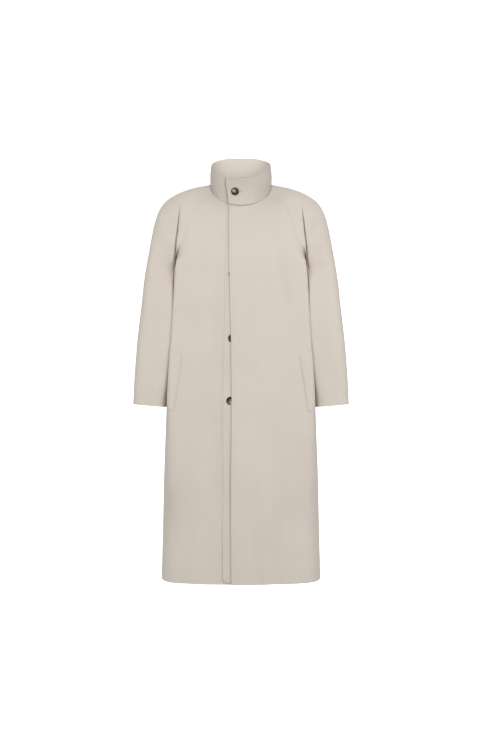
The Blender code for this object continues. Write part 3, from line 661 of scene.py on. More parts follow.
def panel_grids():
    """Every panel as a grid of outer points, its columns running round the body to the wearer's left."""
    left = front_grid(lambda down: interpolate(FRONT_EDGE, down).left_edge, LIFT, 1)
    right = mirrored(front_grid(lambda down: -UNDER_EDGE, 0.0, -1))
    grids = {
        "front_left": left[..., :3].copy(),
        "sleeve_front_left": sleeve_grid(-1, 1),
        "sleeve_back_left": sleeve_grid(1, 1)[:, ::-1],
        "back": back_grid(),
        "sleeve_back_right": mirrored(sleeve_grid(1, -1)[:, ::-1]),
        "sleeve_front_right": mirrored(sleeve_grid(-1, -1)),
        "front_right": right[..., :3].copy(),
    }
    necks = {name: np.column_stack([grid[0], np.zeros(len(grid[0]))]) for name, grid in grids.items()}
    necks["front_left"][:, 3] = left[0, :, 3]
    grids["front_left"][..., 1] -= left[..., 3]
    below = row_lengths(left[..., :3].transpose(1, 0, 2)).T
    pressed = BASE_TROUGH * np.exp(-below / BASE_TROUGH_WIDTH)
    grids["front_left"][..., 1] += pressed * smooth((BASE_TROUGH_ENDS - left[..., 0]) / BASE_TROUGH_FADE)
    return grids, necks


def normals(grid):
    """Unit normals that point out of the coat, for columns that run round it to the left."""
    return unit(np.cross(np.gradient(grid, axis=0), np.gradient(grid, axis=1)))


def shared_normals(grids, own):
    """The normals again, with those of points on a seam averaged over the panels that meet there."""
    sums = {}
    for name, grid in grids.items():
        keys = np.round(grid / SAME_POINT).astype(int).reshape(-1, 3)
        for key, normal in zip(map(tuple, keys), own[name].reshape(-1, 3)):
            sums[key] = sums.get(key, 0.0) + normal
    shared = {}
    for name, grid in grids.items():
        keys = np.round(grid / SAME_POINT).astype(int).reshape(-1, 3)
        shared[name] = unit(np.array([sums[tuple(key)] for key in keys])).reshape(grid.shape)
    return shared


def sewn_sides(name):
    """Whether a panel's first and last columns are sewn: all but the free edges of the fronts."""
    return name != "front_left", name != "front_right"


def row_lengths(grid):
    """The distance of each point of a grid from the start of its row."""
    return np.array([lengths_along(row) for row in grid])


def drawn_in(grid, sewn, hem_depth):
    """How far the stitches draw each point of a panel in, at its seams and at its hem."""
    across = row_lengths(grid)
    pucker = 1.0 + PUCKER_SHARE * np.sin(2.0 * math.pi * grid[..., 2] / PUCKER_LENGTH)
    dip = np.zeros(grid.shape[:2])
    for is_sewn, away in zip(sewn, (across, across[:, -1:] - across)):
        if is_sewn:
            dip = np.maximum(dip, SEAM_DIP * pucker * np.exp(-((away / SEAM_DIP_WIDTH) ** 2)))
    up = row_lengths(grid[::-1].transpose(1, 0, 2)).T[::-1]
    return dip + STITCH_DIP * np.exp(-(((up - hem_depth) / SEAM_DIP_WIDTH) ** 2))


def panel_walls(grids):
    """The outer and inner points of every panel."""
    own = {name: normals(grid) for name, grid in grids.items()}
    shared = shared_normals(grids, own)
    walls = {}
    for name, grid in grids.items():
        cosine = np.clip((own[name] * shared[name]).sum(axis=-1, keepdims=True), MITRE, 1.0)
        hem_depth = CUFF_DEPTH if name.startswith("sleeve") else HEM_DEPTH
        outer = grid - shared[name] * drawn_in(grid, sewn_sides(name), hem_depth)[..., None]
        walls[name] = (outer, outer - shared[name] * CLOTH / cosine)
    return walls


def collar_top(angle):
    """A point of the collar's top edge, by its angle round the neck from the front to the left."""
    power = 2.0 / COLLAR_SQUARE
    x = COLLAR_HALF_WIDTH * np.sign(np.sin(angle)) * np.abs(np.sin(angle)) ** power
    lean = (1.0 - np.sign(np.cos(angle)) * np.abs(np.cos(angle)) ** power) / 2.0
    y = COLLAR_FRONT_Y + lean * (COLLAR_BACK_Y - COLLAR_FRONT_Y)
    share = np.abs(x) / COLLAR_HALF_WIDTH
    front = COLLAR_FRONT_Z + (COLLAR_SIDE_FRONT_Z - COLLAR_FRONT_Z) * share**COLLAR_FRONT_DIP
    back = COLLAR_BACK_Z + (COLLAR_SIDE_BACK_Z - COLLAR_BACK_Z) * share**COLLAR_BACK_DIP
    z = front + eased(lean, COLLAR_BACK_FROM, COLLAR_BACK_FULL) * (back - front)
    return np.stack([x, y, z], axis=-1)


def collar_creased(angle, up):
    """How far the collar's creases press it in at each angle and share of its height."""
    depth = np.zeros(len(angle))
    degrees = np.degrees(angle)
    for crease in COLLAR_CREASES:
        share = (crease.top_up - up) / (crease.top_up - crease.low_up)
        line = crease.top_angle + share * (crease.low_angle - crease.top_angle)
        away = np.radians((degrees - line + 180.0) % 360.0 - 180.0) * COLLAR_HALF_WIDTH / crease.half_width
        swell = smooth(share / CREASE_EASE) * smooth((1.0 + CREASE_EASE - share) / CREASE_EASE)
        depth = depth + crease.depth * swell * np.exp(-away * away)
    return depth


def collar_grid(necks):
    """The collar's outer points, from the end of its flap round the neck to the end beneath the flap."""
    line = np.concatenate([row if i == 0 else row[1:] for i, row in enumerate(necks.values())])
    measure = lengths_along(line[:, :3])
    corner = FLAP_CORNER * (1.0 - np.cos(np.linspace(0.0, math.pi / 2.0, CORNER_STEPS + 1)))
    wanted = np.concatenate([corner, np.linspace(FLAP_CORNER, measure[-1], COLLAR_COLUMNS + 1)[1:]])
    below = measure > measure[-1] / 2.0
    behind_end = np.interp(line[0, 0], line[below, 0], measure[below])
    wanted = np.sort(np.concatenate([wanted, behind_end + END_COLUMNS]))
    base = at_lengths(line, measure, wanted)
    lift = base[:, 3]
    middle_y = (COLLAR_FRONT_Y + COLLAR_BACK_Y) / 2.0
    half_depth = (COLLAR_BACK_Y - COLLAR_FRONT_Y) / 2.0
    angle = np.unwrap(np.arctan2(base[:, 0] / COLLAR_HALF_WIDTH, (middle_y - base[:, 1]) / half_depth))
    angle = angle - FLAP_SLANT / COLLAR_HALF_WIDTH * smooth(1.0 - wanted / FLAP_SLANT_LENGTH)
    top = collar_top(angle)
    base = base[:, :3] - [0.0, 0.0, COLLAR_SINK]
    into_corner = np.clip(1.0 - wanted / FLAP_CORNER, 0.0, 1.0)
    lower = FLAP_CORNER * (1.0 - np.sqrt(1.0 - into_corner**2))
    lower = lower + FLAP_DROP * smooth(1.0 - wanted / FLAP_DROP_LENGTH)
    height = 1.0 - lower / np.linalg.norm(top - base, axis=1)
    out = unit(np.stack([np.sin(angle), -np.cos(angle), np.zeros(len(angle))], axis=1))
    proud = FLAP_PROUD * smooth((FLAP_LENGTH - wanted) / (FLAP_FADE * FLAP_LENGTH))
    proud = proud + FLAP_CURL * np.exp(-wanted / FLAP_CURL_LENGTH)
    rows = []
    for share in np.linspace(1.0, 0.0, COLLAR_ROWS + 1):
        up = (share * height)[:, None]
        bulge = COLLAR_BULGE * np.sin(math.pi * up) - collar_creased(angle, up[:, 0])[:, None] * np.sqrt(up)
        row = base + up * (top - base) + bulge * out
        row[:, 1] -= lift + up[:, 0] * lift * (LIFT_AT_COLLAR_TOP / LIFT - 1.0)
        row[:, 1] -= proud * (1.0 - (1.0 - FLAP_PROUD_AT_TOP) * up[:, 0])
        trough = np.exp(-np.abs(row[:, 0] - row[0, 0]) / END_TROUGH_WIDTH)
        trough = END_TROUGH * smooth((1.0 - share) / END_TROUGH_TOP) * trough
        row[:, 1] += np.where((wanted > measure[-1] / 2.0) & (row[:, 1] < 0.0), trough, 0.0)
        rows.append(row)
    return np.array(rows)


def strip_grid(front_right):
    """The buttonhole strip's back, from the right front's own rows, moved out."""
    under = front_right.copy()
    hangs = eased(-under[..., 2], STRIP_HANGS_FROM, STRIP_HANGS_FULL)
    under[..., 1] -= STRIP_GAP + STRIP_HANGS * hangs
    middle = np.array([np.interp(0.0, row[:, 0], row[:, 2]) for row in under])
    low = middle[-1] + STRIP_ABOVE_HEM
    corner = low + STRIP_CORNER * (1.0 - np.sin(np.linspace(0.0, math.pi / 2.0, CORNER_STEPS + 1)))
    inside = middle[(middle < -STRIP_TOP - STRIP_ROW_CLEAR) & (middle > corner[0] + STRIP_ROW_CLEAR)]
    rows = []
    for z in np.concatenate([[-STRIP_TOP], inside, corner]):
        place = np.interp(-z, -middle, np.arange(len(middle)))
        above = int(min(place, len(middle) - 2))
        row = under[above] + (place - above) * (under[above + 1] - under[above])
        into = np.clip(1.0 - (z - low) / STRIP_CORNER, 0.0, 1.0)
        edge = interpolate(FRONT_EDGE, -z).strip_edge + STRIP_CORNER * (1.0 - math.sqrt(1.0 - into**2))
        rows.append(at_lengths(row, row[:, 0], np.linspace(edge, STRIP_INNER_EDGE, STRIP_COLUMNS + 1)))
    return np.array(rows)


def on_body(down, length):
    """The point of the front body at a depth below the origin and a length round from the middle."""
    line = body_line(down, -1)
    return at_lengths(line, lengths_along(line), [length])[0]


def length_at(down, x):
    line = body_line(down, -1)
    return np.interp(x, line[:, 0], lengths_along(line))


def welt_grid(side):
    """A pocket's welt on the front, as on the wearer's left, from its front edge to its far edge."""
    rows = []
    for v in np.linspace(0.0, 1.0, WELT_ROWS + 1):
        x = WELT_TOP.x + v * (WELT_LOW.x - WELT_TOP.x)
        z = WELT_TOP.z + v * (WELT_LOW.z - WELT_TOP.z)
        start = length_at(-z, x)
        shares = np.linspace(0.0, 1.0, WELT_COLUMNS + 1)
        rows.append([on_body(-z - WELT_RISE * s, start + WELT_WIDTH * s) for s in shares])
    return folded(np.array(rows), side)


def new_mesh(name, points, faces, material):
    mesh = bpy.data.meshes.new(name)
    mesh.from_pydata(np.asarray(points).tolist(), [], np.asarray(faces).tolist())
    mesh.shade_smooth()
    mesh.materials.append(material)
    return mesh


def new_object(name, data):
    thing = bpy.data.objects.new(name, data)
    bpy.context.scene.collection.objects.link(thing)
    return thing


def add_piece(name, mesh):
    """A new piece that rides on the coat."""
    piece = new_object(name, mesh)
    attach(piece, BODY_NAME)
    return piece


def boundary(rows, columns):
    """The indices round the edge of a grid: along its top, down its last column, back and up its first."""
    index = np.arange(rows * columns).reshape(rows, columns)
    return np.concatenate([index[0, :-1], index[:-1, -1], index[-1, :0:-1], index[:0:-1, 0]])


def edge_directions(grid, rounded):
    """How far each point of the edge of a grid bulges out, for those of its four edges that are rounded."""
    out = np.zeros(grid.shape)
    for edge, beside, is_round in (
        (np.s_[0], np.s_[1], "top" in rounded),
        (np.s_[-1], np.s_[-2], "low" in rounded),
        (np.s_[:, 0], np.s_[:, 1], "first" in rounded),
        (np.s_[:, -1], np.s_[:, -2], "last" in rounded),
    ):
        if is_round:
            out[edge] += unit(grid[edge] - grid[beside])
    return out


def add_sheet(node, outer, inner, material, rounded, inside=None):
    """A wall of cloth between two grids, with rounded free edges, which stands for a node."""
    rows, columns = outer.shape[:2]
    count = rows * columns
    index = np.arange(count).reshape(rows, columns)
    quads = np.stack([index[:-1, :-1], index[1:, :-1], index[1:, 1:], index[:-1, 1:]], axis=-1)
    quads = quads.reshape(-1, 4)
    loop = boundary(rows, columns)
    points = [outer.reshape(-1, 3), inner.reshape(-1, 3)]
    bulge = edge_directions(outer, rounded).reshape(-1, 3)[loop]
    thick = np.linalg.norm(outer - inner, axis=-1).reshape(-1, 1)[loop]
    rings = [loop]
    for k, t in enumerate(RIM_STEPS):
        across = points[0][loop] + t * (points[1][loop] - points[0][loop])
        points.append(across + bulge * thick / 2.0 * math.sin(math.pi * t))
        rings.append(2 * count + k * len(loop) + np.arange(len(loop)))
    rings.append(loop + count)
    faces = [quads, quads[:, ::-1] + count]
    for ring, after in zip(rings[:-1], rings[1:]):
        faces.append(np.stack([ring, np.roll(ring, -1), np.roll(after, -1), after], axis=-1))
    mesh = new_mesh("cloth_" + node, np.concatenate(points), np.concatenate(faces), material)
    if inside:
        mesh.materials.append(inside)
        for face in mesh.polygons[len(quads) : 2 * len(quads)]:
            face.material_index = 1
    add_grain(mesh, outer, loop)
    piece = add_piece("cloth_" + node, mesh)
    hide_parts(node)
    across = row_lengths(outer)[:, -1].max()
    down = row_lengths(outer.transpose(1, 0, 2))[:, -1].max()


def add_grain(mesh, outer, loop):
    """A UV map in metres along and across the cloth, for its weave."""
    across = row_lengths(outer)
    across = across - across[:, across.shape[1] // 2][:, None]
    down = row_lengths(outer.transpose(1, 0, 2)).T
    flat = np.stack([across, down], axis=-1).reshape(-1, 2)
    flat = np.concatenate([flat, flat] + [flat[loop]] * len(RIM_STEPS))
    corner = np.zeros(len(mesh.loops), np.int32)
    mesh.loops.foreach_get("vertex_index", corner)
    grain = mesh.uv_layers.new(name="grain")
    grain.data.foreach_set("uv", flat[corner].astype(np.float32).ravel())


def surface(outer):
    """Points and normals side by side, for lines that lie on the cloth."""
    return np.concatenate([outer, normals(outer)], axis=-1)


def beside(points, edge, distance):
    """The line on a surface that runs at a distance from one of its edges."""
    if edge in ("top", "low"):
        points = points.transpose(1, 0, 2)
    if edge in ("last", "low"):
        points = points[:, ::-1]
    return np.array([at_lengths(row, lengths_along(row[:, :3]), [distance])[0] for row in points])


def between(line, start, end):
    """Part of a line, from a length after its start to a length before its end."""
    measure = lengths_along(line[:, :3])
    inner = line[(measure > start) & (measure < measure[-1] - end)]
    ends = at_lengths(line, measure, [start, measure[-1] - end])
    return np.concatenate([ends[:1], inner, ends[1:]])


def tube_points(middle, aside, out, wide, high, sides=THREAD_SIDES):
    """Rings of points round lines, with half axes of two lengths in two directions."""
    angles = np.linspace(0.0, 2.0 * math.pi, sides, endpoint=False)[:, None]
    ring = wide * np.cos(angles) * aside[..., None, :] + high * np.sin(angles) * out[..., None, :]
    return middle[..., None, :] + ring


def stitch_points(line):
    """Rows of stitches along a line of points and normals: stitch, step along it, side, coordinate."""
    measure = lengths_along(line[:, :3])
    pitch = STITCH_LENGTH + STITCH_GAP
    starts = np.arange(STITCH_GAP, measure[-1] - STITCH_LENGTH, pitch)
    where = starts[:, None] + STITCH_LENGTH * np.array(THREAD_ALONG)
    places = at_lengths(line, measure, where.ravel()).reshape(*where.shape, 6)
    out = unit(places[..., 3:])
    ahead = unit(np.gradient(places[..., :3], axis=1))
    aside = unit(np.cross(ahead, out))
    middle = places[..., :3] + THREAD * np.array(THREAD_HEIGHT)[:, None] * out
    return tube_points(middle, aside, out, THREAD, THREAD)


def tube_mesh(name, tubes, material, closed=False):
    """Tubes, from points by tube, ring and side: each closed on itself, or with its ends filled."""
    index = np.arange(tubes.size // 3).reshape(tubes.shape[:3])
    here, after = (index, np.roll(index, -1, axis=1)) if closed else (index[:, :-1], index[:, 1:])
    quads = np.stack([here, np.roll(here, -1, axis=2), np.roll(after, -1, axis=2), after], axis=-1)
    mesh = new_mesh(name, tubes.reshape(-1, 3), quads.reshape(-1, 4), material)
    work = bmesh.new()
    work.from_mesh(mesh)
    bmesh.ops.holes_fill(work, edges=work.edges, sides=tubes.shape[2])
    bmesh.ops.recalc_face_normals(work, faces=work.faces)
    for face in work.faces:
        face.smooth = True
    work.to_mesh(mesh)
    work.free()
    return mesh


def add_stitches(name, lines, material):
    """All the stitches of some lines, as one piece."""
    tubes = np.concatenate([stitch_points(line) for line in lines])
    add_piece(name, tube_mesh(name, tubes, material))


def spot(points, x, z):
    """The point and normal of a nearly upright surface at x and z."""
    near = points[np.abs(points[:, :, 2] - z).min(axis=1) < SPOT_REACH]
    rows = [row[np.argsort(row[:, 0])] for row in near]
    level = np.array([at_lengths(row, row[:, 0], [x])[0] for row in rows])
    level = level[np.argsort(level[:, 2])]
    found = at_lengths(level, level[:, 2], [z])[0]
    return found[:3], unit(found[3:])


def node_material(name):
    """A new material, and a function that adds a node to it, or sets its shader where no kind is given.

    Values go to the node's inputs by order or by name, with _ for a space, and another node's output is
    linked. Any other name is a setting of the node.
    """
    material = bpy.data.materials.new(name)
    material.use_nodes = True
    tree = material.node_tree

    def fill(socket, value):
        if isinstance(value, bpy.types.NodeSocket):
            tree.links.new(value, socket)
        else:
            socket.default_value = value

    def add(kind=None, *ordered, **named):
        node = tree.nodes.new(kind) if kind else tree.nodes["Principled BSDF"]
        for key, value in named.items():
            title = key.replace("_", " ")
            if title in node.inputs:
                fill(node.inputs[title], value)
            else:
                setattr(node, key, value)
        for socket, value in zip(node.inputs, ordered):
            fill(socket, value)
        return node

    return material, add


def ramp_colour(add, factor, steps):
    """The colour at a factor between positions and colours."""
    ramp = add("ShaderNodeValToRGB", Fac=factor)
    elements = ramp.color_ramp.elements
    for place, _ in steps[2:]:
        elements.new(place)
    for element, (place, colour) in zip(elements, steps):
        element.position = place
        element.color = (*colour, 1.0)
    return ramp.outputs["Color"]


def cloth_material(name, light, dark, painted_shade=None):
    """Matt cotton twill: fine slanted ribs in the weave, slubs, and a slight change of tone over the cloth.

    The optional last argument is painted shade that makes it darker upwards: a height and a share of its
    colour at the bottom, and both at the top.
    """
    material, add = node_material(name)
    grain = add("ShaderNodeUVMap", uv_map="grain").outputs["UV"]
    place = add("ShaderNodeNewGeometry").outputs["Position"]
    tone = add("ShaderNodeTexNoise", Vector=place, Scale=7.0, Detail=3.0, Roughness=0.55).outputs["Fac"]
    slubs = add("ShaderNodeMapping", Vector=grain, Scale=(2600.0, 240.0, 1.0)).outputs["Vector"]
    slub = add("ShaderNodeTexNoise", Vector=slubs, Scale=1.0, Detail=2.0).outputs["Fac"]
    twill = add("ShaderNodeTexWave", Vector=grain, Scale=330.0, Distortion=0.6, Detail=1.0)
    twill.bands_direction = "DIAGONAL"
    mixed = add("ShaderNodeMath", slub, 0.30, tone, operation="MULTIPLY_ADD").outputs["Value"]
    colour = ramp_colour(add, mixed, ((0.38, dark), (0.92, light)))
    # painted shade: the colour darkens with height
    if painted_shade:
        low_z, low_share, top_z, top_share = painted_shade
        z = add("ShaderNodeSeparateXYZ", Vector=place).outputs["Z"]
        height = add("ShaderNodeMapRange", Value=z, From_Min=low_z, From_Max=top_z)
        height.interpolation_type = "SMOOTHSTEP"
        shares = ((0.0, (low_share,) * 3), (1.0, (top_share,) * 3))
        shade = ramp_colour(add, height.outputs["Result"], shares)
        both = add("ShaderNodeMix", data_type="RGBA", blend_type="MULTIPLY", Factor=1.0, A=colour, B=shade)
        colour = both.outputs["Result"]
    rough = add("ShaderNodeMapRange", Value=slub, To_Min=0.74, To_Max=0.90)
    relief = add("ShaderNodeMath", twill.outputs["Fac"], 0.6, slub, operation="MULTIPLY_ADD")
    bump = add("ShaderNodeBump", Strength=0.22, Distance=0.0002, Height=relief.outputs["Value"])
    add(Base_Color=colour, Roughness=rough.outputs["Result"], Normal=bump.outputs["Normal"])
    add(Specular_IOR_Level=0.25, Sheen_Weight=0.12, Sheen_Roughness=0.45)
    return material


def speckled_material(name, colour, speckle):
    """Thread, or the painted shadow in a buttonhole: specks of a colour and of a darker share of it."""
    material, add = node_material(name)
    place = add("ShaderNodeNewGeometry").outputs["Position"]
    speck = add("ShaderNodeTexNoise", Vector=place, Scale=speckle.scale, Detail=1.0).outputs["Fac"]
    steps = ((0.30, tuple(speckle.dark * c for c in colour)), (0.70, colour))
    add(Base_Color=ramp_colour(add, speck, steps), Roughness=speckle.roughness)
    if speckle.relief:
        bump = add("ShaderNodeBump", Strength=speckle.relief, Distance=0.0001, Height=speck)
        add(Normal=bump.outputs["Normal"])
    return material


def tortoise_material(button):
    """Polished dark brown with amber clouds, gathered round the patch of this button."""
    material, add = node_material("tortoise_" + button.name)
    face = add("ShaderNodeUVMap", uv_map="face").outputs["UV"]
    turn = (0.0, 0.0, button.slant)
    middle = (button.patch_x, button.patch_y, 0.0)
    size = (0.6 * button.patch_size, button.patch_size, 1.0)
    patch = add("ShaderNodeMapping", Vector=face, Location=middle, Rotation=turn, Scale=size)
    patch.vector_type = "TEXTURE"
    far = add("ShaderNodeVectorMath", patch.outputs["Vector"], operation="LENGTH").outputs["Value"]
    near = add("ShaderNodeMapRange", Value=far, From_Max=1.6, To_Min=0.50, To_Max=0.0).outputs["Result"]
    start = (9.0 * button.patch_x, 5.0 * button.patch_size, button.slant)
    grain = add("ShaderNodeMapping", Vector=face, Location=start, Rotation=turn).outputs["Vector"]
    cloud = add("ShaderNodeTexNoise", Vector=grain, Scale=2.1, Detail=3.0, Roughness=0.5, Distortion=1.1)
    cloud = cloud.outputs["Fac"]
    warm = add("ShaderNodeMath", cloud, near, operation="ADD").outputs["Value"]
    rough = add("ShaderNodeMapRange", Value=cloud, To_Min=0.20, To_Max=0.30).outputs["Result"]
    add(Base_Color=ramp_colour(add, warm, TORTOISE), Roughness=rough)
    add(Specular_IOR_Level=0.35, Coat_Weight=0.15, Coat_Roughness=0.10)
    return material


def turned(name, profile, sides):
    """A closed mesh: radii and heights turned about the z axis, with a flat face at each end."""
    angles = np.linspace(0.0, 2.0 * math.pi, sides, endpoint=False)
    points = [(r * math.cos(a), r * math.sin(a), h) for r, h in profile for a in angles]
    ring = np.arange(sides)
    after = np.roll(ring, -1)
    last = (len(profile) - 1) * sides
    faces = [ring[::-1].tolist()]
    for low in range(0, last, sides):
        high = low + sides
        faces += np.stack([ring + low, after + low, after + high, ring + high], axis=1).tolist()
    faces.append((ring + last).tolist())
    mesh = bpy.data.meshes.new(name)
    mesh.from_pydata(points, [], faces)
    return mesh


def button_mesh():
    """A dished four-hole button with a rolled rim, which lies on z = 0 with its face up."""
    profile = [(r * BUTTON_RADIUS, h * BUTTON_THICKNESS) for r, h in BUTTON_OUTLINE]
    blank = new_object("button_blank", turned("button_blank", profile, BUTTON_SIDES))
    holes = bmesh.new()
    for x in (-BUTTON_HOLE_PLACE, BUTTON_HOLE_PLACE):
        for y in (-BUTTON_HOLE_PLACE, BUTTON_HOLE_PLACE):
            bmesh.ops.create_cone(
                holes,
                cap_ends=True,
                segments=BUTTON_HOLE_SIDES,
                radius1=BUTTON_HOLE_RADIUS,
                radius2=BUTTON_HOLE_RADIUS,
                depth=4.0 * BUTTON_THICKNESS,
                matrix=Matrix.Translation((x, y, 0.0)),
            )
    bores = bpy.data.meshes.new("button_holes")
    holes.to_mesh(bores)
    holes.free()
    cutter = new_object("button_holes", bores)
    cut = blank.modifiers.new("holes", "BOOLEAN")
    cut.object = cutter
    bpy.context.view_layer.update()
    mesh = bpy.data.meshes.new_from_object(blank.evaluated_get(bpy.context.evaluated_depsgraph_get()))
    mesh.materials.clear()
    mesh.shade_smooth()
    mesh.set_sharp_from_angle(angle=math.radians(BUTTON_SHARP))
    face = mesh.uv_layers.new(name="face")
    for corner in mesh.loops:
        x, y, _ = mesh.vertices[corner.vertex_index].co
        face.data[corner.index].uv = (x / BUTTON_RADIUS, y / BUTTON_RADIUS)
    for helper in (blank, cutter):
        bpy.data.objects.remove(helper)
    return mesh


def button_thread(material, place):
    """The thread through a button's holes: two bars of three strands."""
    t = np.linspace(0.0, math.pi, STRAND_STEPS)
    along = -BUTTON_HOLE_PLACE * np.cos(t)
    up = BUTTON_DISH * BUTTON_THICKNESS - STRAND_SINKS + STRAND_RISES * np.sin(t) ** STRAND_SQUARE
    strands = []
    for bar in (-BUTTON_HOLE_PLACE, BUTTON_HOLE_PLACE):
        for shift in (-STRAND_GAP, 0.0, STRAND_GAP):
            middle = np.stack([along, np.full(len(t), bar + shift), up], axis=1)
            ahead = unit(np.gradient(middle, axis=0))
            over = unit(np.cross(ahead, [0.0, 1.0, 0.0]))
            strands.append(tube_points(middle, np.cross(over, ahead), over, STRAND, STRAND))
    return tube_mesh("thread_" + place.name, np.array(strands), material)


def add_button(place, mesh, points, thread):
    """A button on a surface, with its thread."""
    point, normal = spot(points, place.x, place.z)
    turn = Vector(normal).to_track_quat("Z", "Y").to_matrix().to_4x4()
    seat = Matrix.Translation(Vector(point + BUTTON_SEAT * normal)) @ turn
    blank = mesh.copy()
    blank.materials.append(tortoise_material(place))
    for name, shape, slot in (
        ("fine_" + place.name, blank, "button"),
        ("thread_" + place.name, button_thread(thread, place), "cloth"),
    ):
        shape.transform(seat)
        piece = add_piece(name, shape)
        if slot == "button":
            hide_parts(place.name)


def add_buttonhole(place, points, thread, slit_shadow):
    """A straight buttonhole beneath a button: a ring of close stitches round a thin dark sheet of painted
    shadow in its opening.
    """
    half = BUTTONHOLE_LENGTH / 2.0
    turn = np.linspace(0.0, 2.0 * math.pi, BUTTONHOLE_STEPS, endpoint=False)
    run = (half - BUTTONHOLE_HALF_WIDTH) * np.clip(BUTTONHOLE_STRAIGHT * np.cos(turn), -1.0, 1.0)
    xs = place.x + half - BUTTONHOLE_BACK + run + BUTTONHOLE_HALF_WIDTH * np.cos(turn)
    zs = place.z + BUTTONHOLE_HALF_WIDTH * np.clip(BUTTONHOLE_SQUARE * np.sin(turn), -1.0, 1.0)
    found = np.array([np.concatenate(spot(points, x, z)) for x, z in zip(xs, zs)])
    middle, out = found[:, :3], found[:, 3:]
    ahead = unit(np.roll(middle, -1, axis=0) - np.roll(middle, 1, axis=0))
    aside = unit(np.cross(ahead, out))
    cord = tube_points(middle, aside, out, CORD_WIDE, CORD_HIGH, CORD_SIDES)
    name = "buttonhole_" + place.name
    add_piece(name, tube_mesh(name, cord[None], thread, closed=True))

    # a thin dark sheet of painted shadow in the opening
    inner = middle - SLIT_INSET * aside
    shift = SLIT_HALF_THICKNESS * out
    ring = np.arange(BUTTONHOLE_STEPS)
    after = np.roll(ring, -1)
    faces = [ring.tolist(), (ring[::-1] + BUTTONHOLE_STEPS).tolist()]
    faces += np.stack([ring, ring + BUTTONHOLE_STEPS, after + BUTTONHOLE_STEPS, after], axis=1).tolist()
    mesh = bpy.data.meshes.new("slit_" + place.name)
    mesh.from_pydata(np.concatenate([inner + shift, inner - shift]).tolist(), [], faces)
    mesh.materials.append(slit_shadow)
    add_piece("slit_" + place.name, mesh)


def add_lights():
    for light in LIGHTS:
        lamp = bpy.data.lights.new(light.name, "AREA")
        lamp.shape = "RECTANGLE"
        lamp.size = light.width
        lamp.size_y = light.height
        lamp.energy = light.power
        holder = new_object(light.name, lamp)
        holder.location = light.place
        aim = Vector(LIT_MIDDLE) - Vector(light.place)
        holder.rotation_euler = aim.to_track_quat("-Z", "Y").to_euler()
        holder.visible_camera = False


def add_world():
    """Even studio light from all round, stronger from above."""
    world = bpy.data.worlds.new("studio")
    bpy.context.scene.world = world
    world.use_nodes = True
    nodes, links = world.node_tree.nodes, world.node_tree.links
    place = nodes.new("ShaderNodeTexCoord")
    parts = nodes.new("ShaderNodeSeparateXYZ")
    links.new(place.outputs["Generated"], parts.inputs["Vector"])
    level = nodes.new("ShaderNodeMapRange")
    for name, value in WORLD_LEVEL.items():
        level.inputs[name].default_value = value
    links.new(parts.outputs["Z"], level.inputs["Value"])
    links.new(level.outputs["Result"], nodes["Background"].inputs["Strength"])
    nodes["Background"].inputs["Color"].default_value = (1.0, 0.995, 0.985, 1.0)


def add_stage():
    """A wide pale floor that curves up into a far white surround. Only the camera sees it."""
    turns = np.linspace(0.0, math.pi / 2.0, FLOOR_STEPS)
    wide, bend = FLOOR_FLAT + FLOOR_BEND, FLOOR_Z + FLOOR_BEND
    profile = [(radius, FLOOR_Z) for radius in FLOOR_RINGS]
    profile += [(FLOOR_FLAT + FLOOR_BEND * math.sin(t), bend - FLOOR_BEND * math.cos(t)) for t in turns]
    profile += [(wide * math.cos(t), bend + DOME_HEIGHT * math.sin(t)) for t in turns[1:-1]]
    mesh = turned("studio_floor", profile[::-1], FLOOR_SIDES)
    mesh.shade_smooth()
    white, add = node_material("studio_white")
    add(Base_Color=(0.9, 0.9, 0.9, 1.0), Emission_Color=(1.0, 1.0, 1.0, 1.0), Emission_Strength=1.0)
    mesh.materials.append(white)
    floor = new_object("studio_floor", mesh)
    floor.visible_diffuse = False
    floor.visible_glossy = False
    floor.visible_transmission = False
    floor.visible_shadow = False


def add_camera():
    camera = bpy.data.cameras.new("camera")
    camera.sensor_width = SENSOR
    camera.lens = SENSOR * -CAMERA_PLACE[1] / (PIXEL * FRAME_HEIGHT)
    eye = new_object("camera", camera)
    eye.location = CAMERA_PLACE
    eye.rotation_euler = (math.pi / 2.0, 0.0, 0.0)
    bpy.context.scene.camera = eye


def edge_line(points, edge, distance, start=STITCH_INSET, end=STITCH_INSET):
    """A line at a distance from an edge of a surface, without a length at its start and at its end."""
    return between(beside(points, edge, distance), start, end)


def sew_panels(walls, thread):
    """Lines of stitches beside the seams, hems and edges of the panels."""
    free = {"front_left": "first", "front_right": "last"}
    for name, (outer, _) in walls.items():
        points = surface(outer)
        if name.startswith("sleeve"):
            seam = "first" if name in ("sleeve_front_left", "sleeve_back_right") else "last"
            lines = [edge_line(points, "low", CUFF_DEPTH)]
            lines.append(beside(points[:SEAM_STITCH_ROWS], seam, SEAM_STITCH))
        else:
            lines = [edge_line(points, "low", HEM_DEPTH)]
        if name in free:
            lines.append(edge_line(points, free[name], EDGE_STITCH))
        add_stitches("stitching_" + name, lines, thread)


def sew_collar(points, thread):
    """Stitches round the free edges of the collar."""
    lines = [edge_line(points, "top", EDGE_STITCH, EDGE_STITCH, EDGE_STITCH)]
    lines += [edge_line(points, end, EDGE_STITCH, EDGE_STITCH) for end in ("first", "last")]
    add_stitches("stitching_collar", lines, thread)


def sew_welt(name, points, thread):
    """Stitches round a welt, in two rows at its ends."""
    rows = [(edge, WELT_STITCH) for edge in ("first", "last", "top", "low")]
    rows += [(edge, EDGE_STITCH) for edge in ("top", "low")]
    lines = [edge_line(points, edge, distance, distance, distance) for edge, distance in rows]
    add_stitches("stitching_" + name, lines, thread)


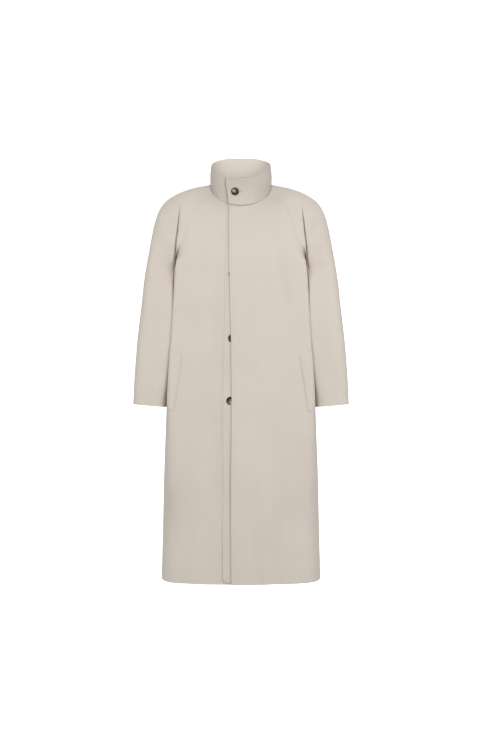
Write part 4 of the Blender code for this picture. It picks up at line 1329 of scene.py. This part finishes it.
def add_cloth(cloth, collar_cloth_painted_shade, collar_inside_painted_light):
    """All the sheets of cloth, and the grids that the sewing and the buttons lie on."""
    grids, necks = panel_grids()
    walls = panel_walls(grids)
    free = {"front_left": ("first", "low"), "front_right": ("last", "low")}
    for name, (outer, inner) in walls.items():
        add_sheet(name, outer, inner, cloth, free.get(name, ("low",)))
    collar = collar_grid(necks)
    collar_back = collar - COLLAR_CLOTH * normals(collar)
    # its inner face gets the lighter copy of the cloth: painted light
    add_sheet("collar", collar, collar_back, collar_cloth_painted_shade, ("top", "first", "last", "low"), collar_inside_painted_light)
    strip_back = strip_grid(grids["front_right"])
    strip = strip_back - [0.0, STRIP_CLOTH, 0.0]
    all_round = ("top", "low", "first", "last")
    add_sheet("fly_strip", strip, strip_back, cloth, all_round)
    welts = {}
    for name, side in (("pocket_welt_left", 1), ("pocket_welt_right", -1)):
        base = welt_grid(side)
        out = normals(base)
        face, back = base + (WELT_GAP + WELT_CLOTH) * out, base + WELT_GAP * out
        if side < 0:
            face, back = mirrored(face), mirrored(back)
        add_sheet(name, face, back, cloth, all_round)
        welts[name] = face
    return walls, collar, strip, welts


def main():
    add_camera()
    add_stage()
    add_world()
    add_lights()
    cloth = cloth_material("stone_twill", CLOTH_LIGHT, CLOTH_DARK)
    # the collar's cloth, with painted shade that darkens it upwards
    collar_cloth_painted_shade = cloth_material("stone_twill_collar_painted_shade", CLOTH_LIGHT, CLOTH_DARK, COLLAR_PAINTED_SHADE)
    # the collar's inside: a lighter copy of the cloth, painted light
    inside = cloth_material("stone_twill_inside_painted_light", PAINTED_LIT_INSIDE_LIGHT, PAINTED_LIT_INSIDE_DARK)
    thread = speckled_material("stone_thread", THREAD_COLOUR, THREAD_SPECKLE)
    yarn = speckled_material("button_thread", BUTTON_YARN, THREAD_SPECKLE)
    # the painted shadow in the buttonholes
    slit_shadow = speckled_material("buttonhole_shadow", SLIT_SHADOW_COLOUR, SLIT_SHADOW_SPECKLE)

    walls, collar, strip, welts = add_cloth(cloth, collar_cloth_painted_shade, inside)
    collar_points, strip_points = surface(collar), surface(strip)
    sew_panels(walls, thread)
    sew_collar(collar_points, thread)
    for name, welt in welts.items():
        sew_welt(name, surface(welt), thread)
    strip_line = edge_line(strip_points, "first", STRIP_STITCH, STRIP_STITCH, STRIP_CORNER)
    add_stitches("stitching_fly_strip", [strip_line], thread)

    button = button_mesh()
    for place in (COLLAR_BUTTON, *FRONT_BUTTONS):
        points = collar_points[:, :FLAP_COLUMNS] if place is COLLAR_BUTTON else strip_points
        add_button(place, button, points, yarn)
        add_buttonhole(place, points, thread, slit_shadow)

    view = bpy.context.scene.view_settings
    view.view_transform = "Standard"
    view.look = "None"


main()
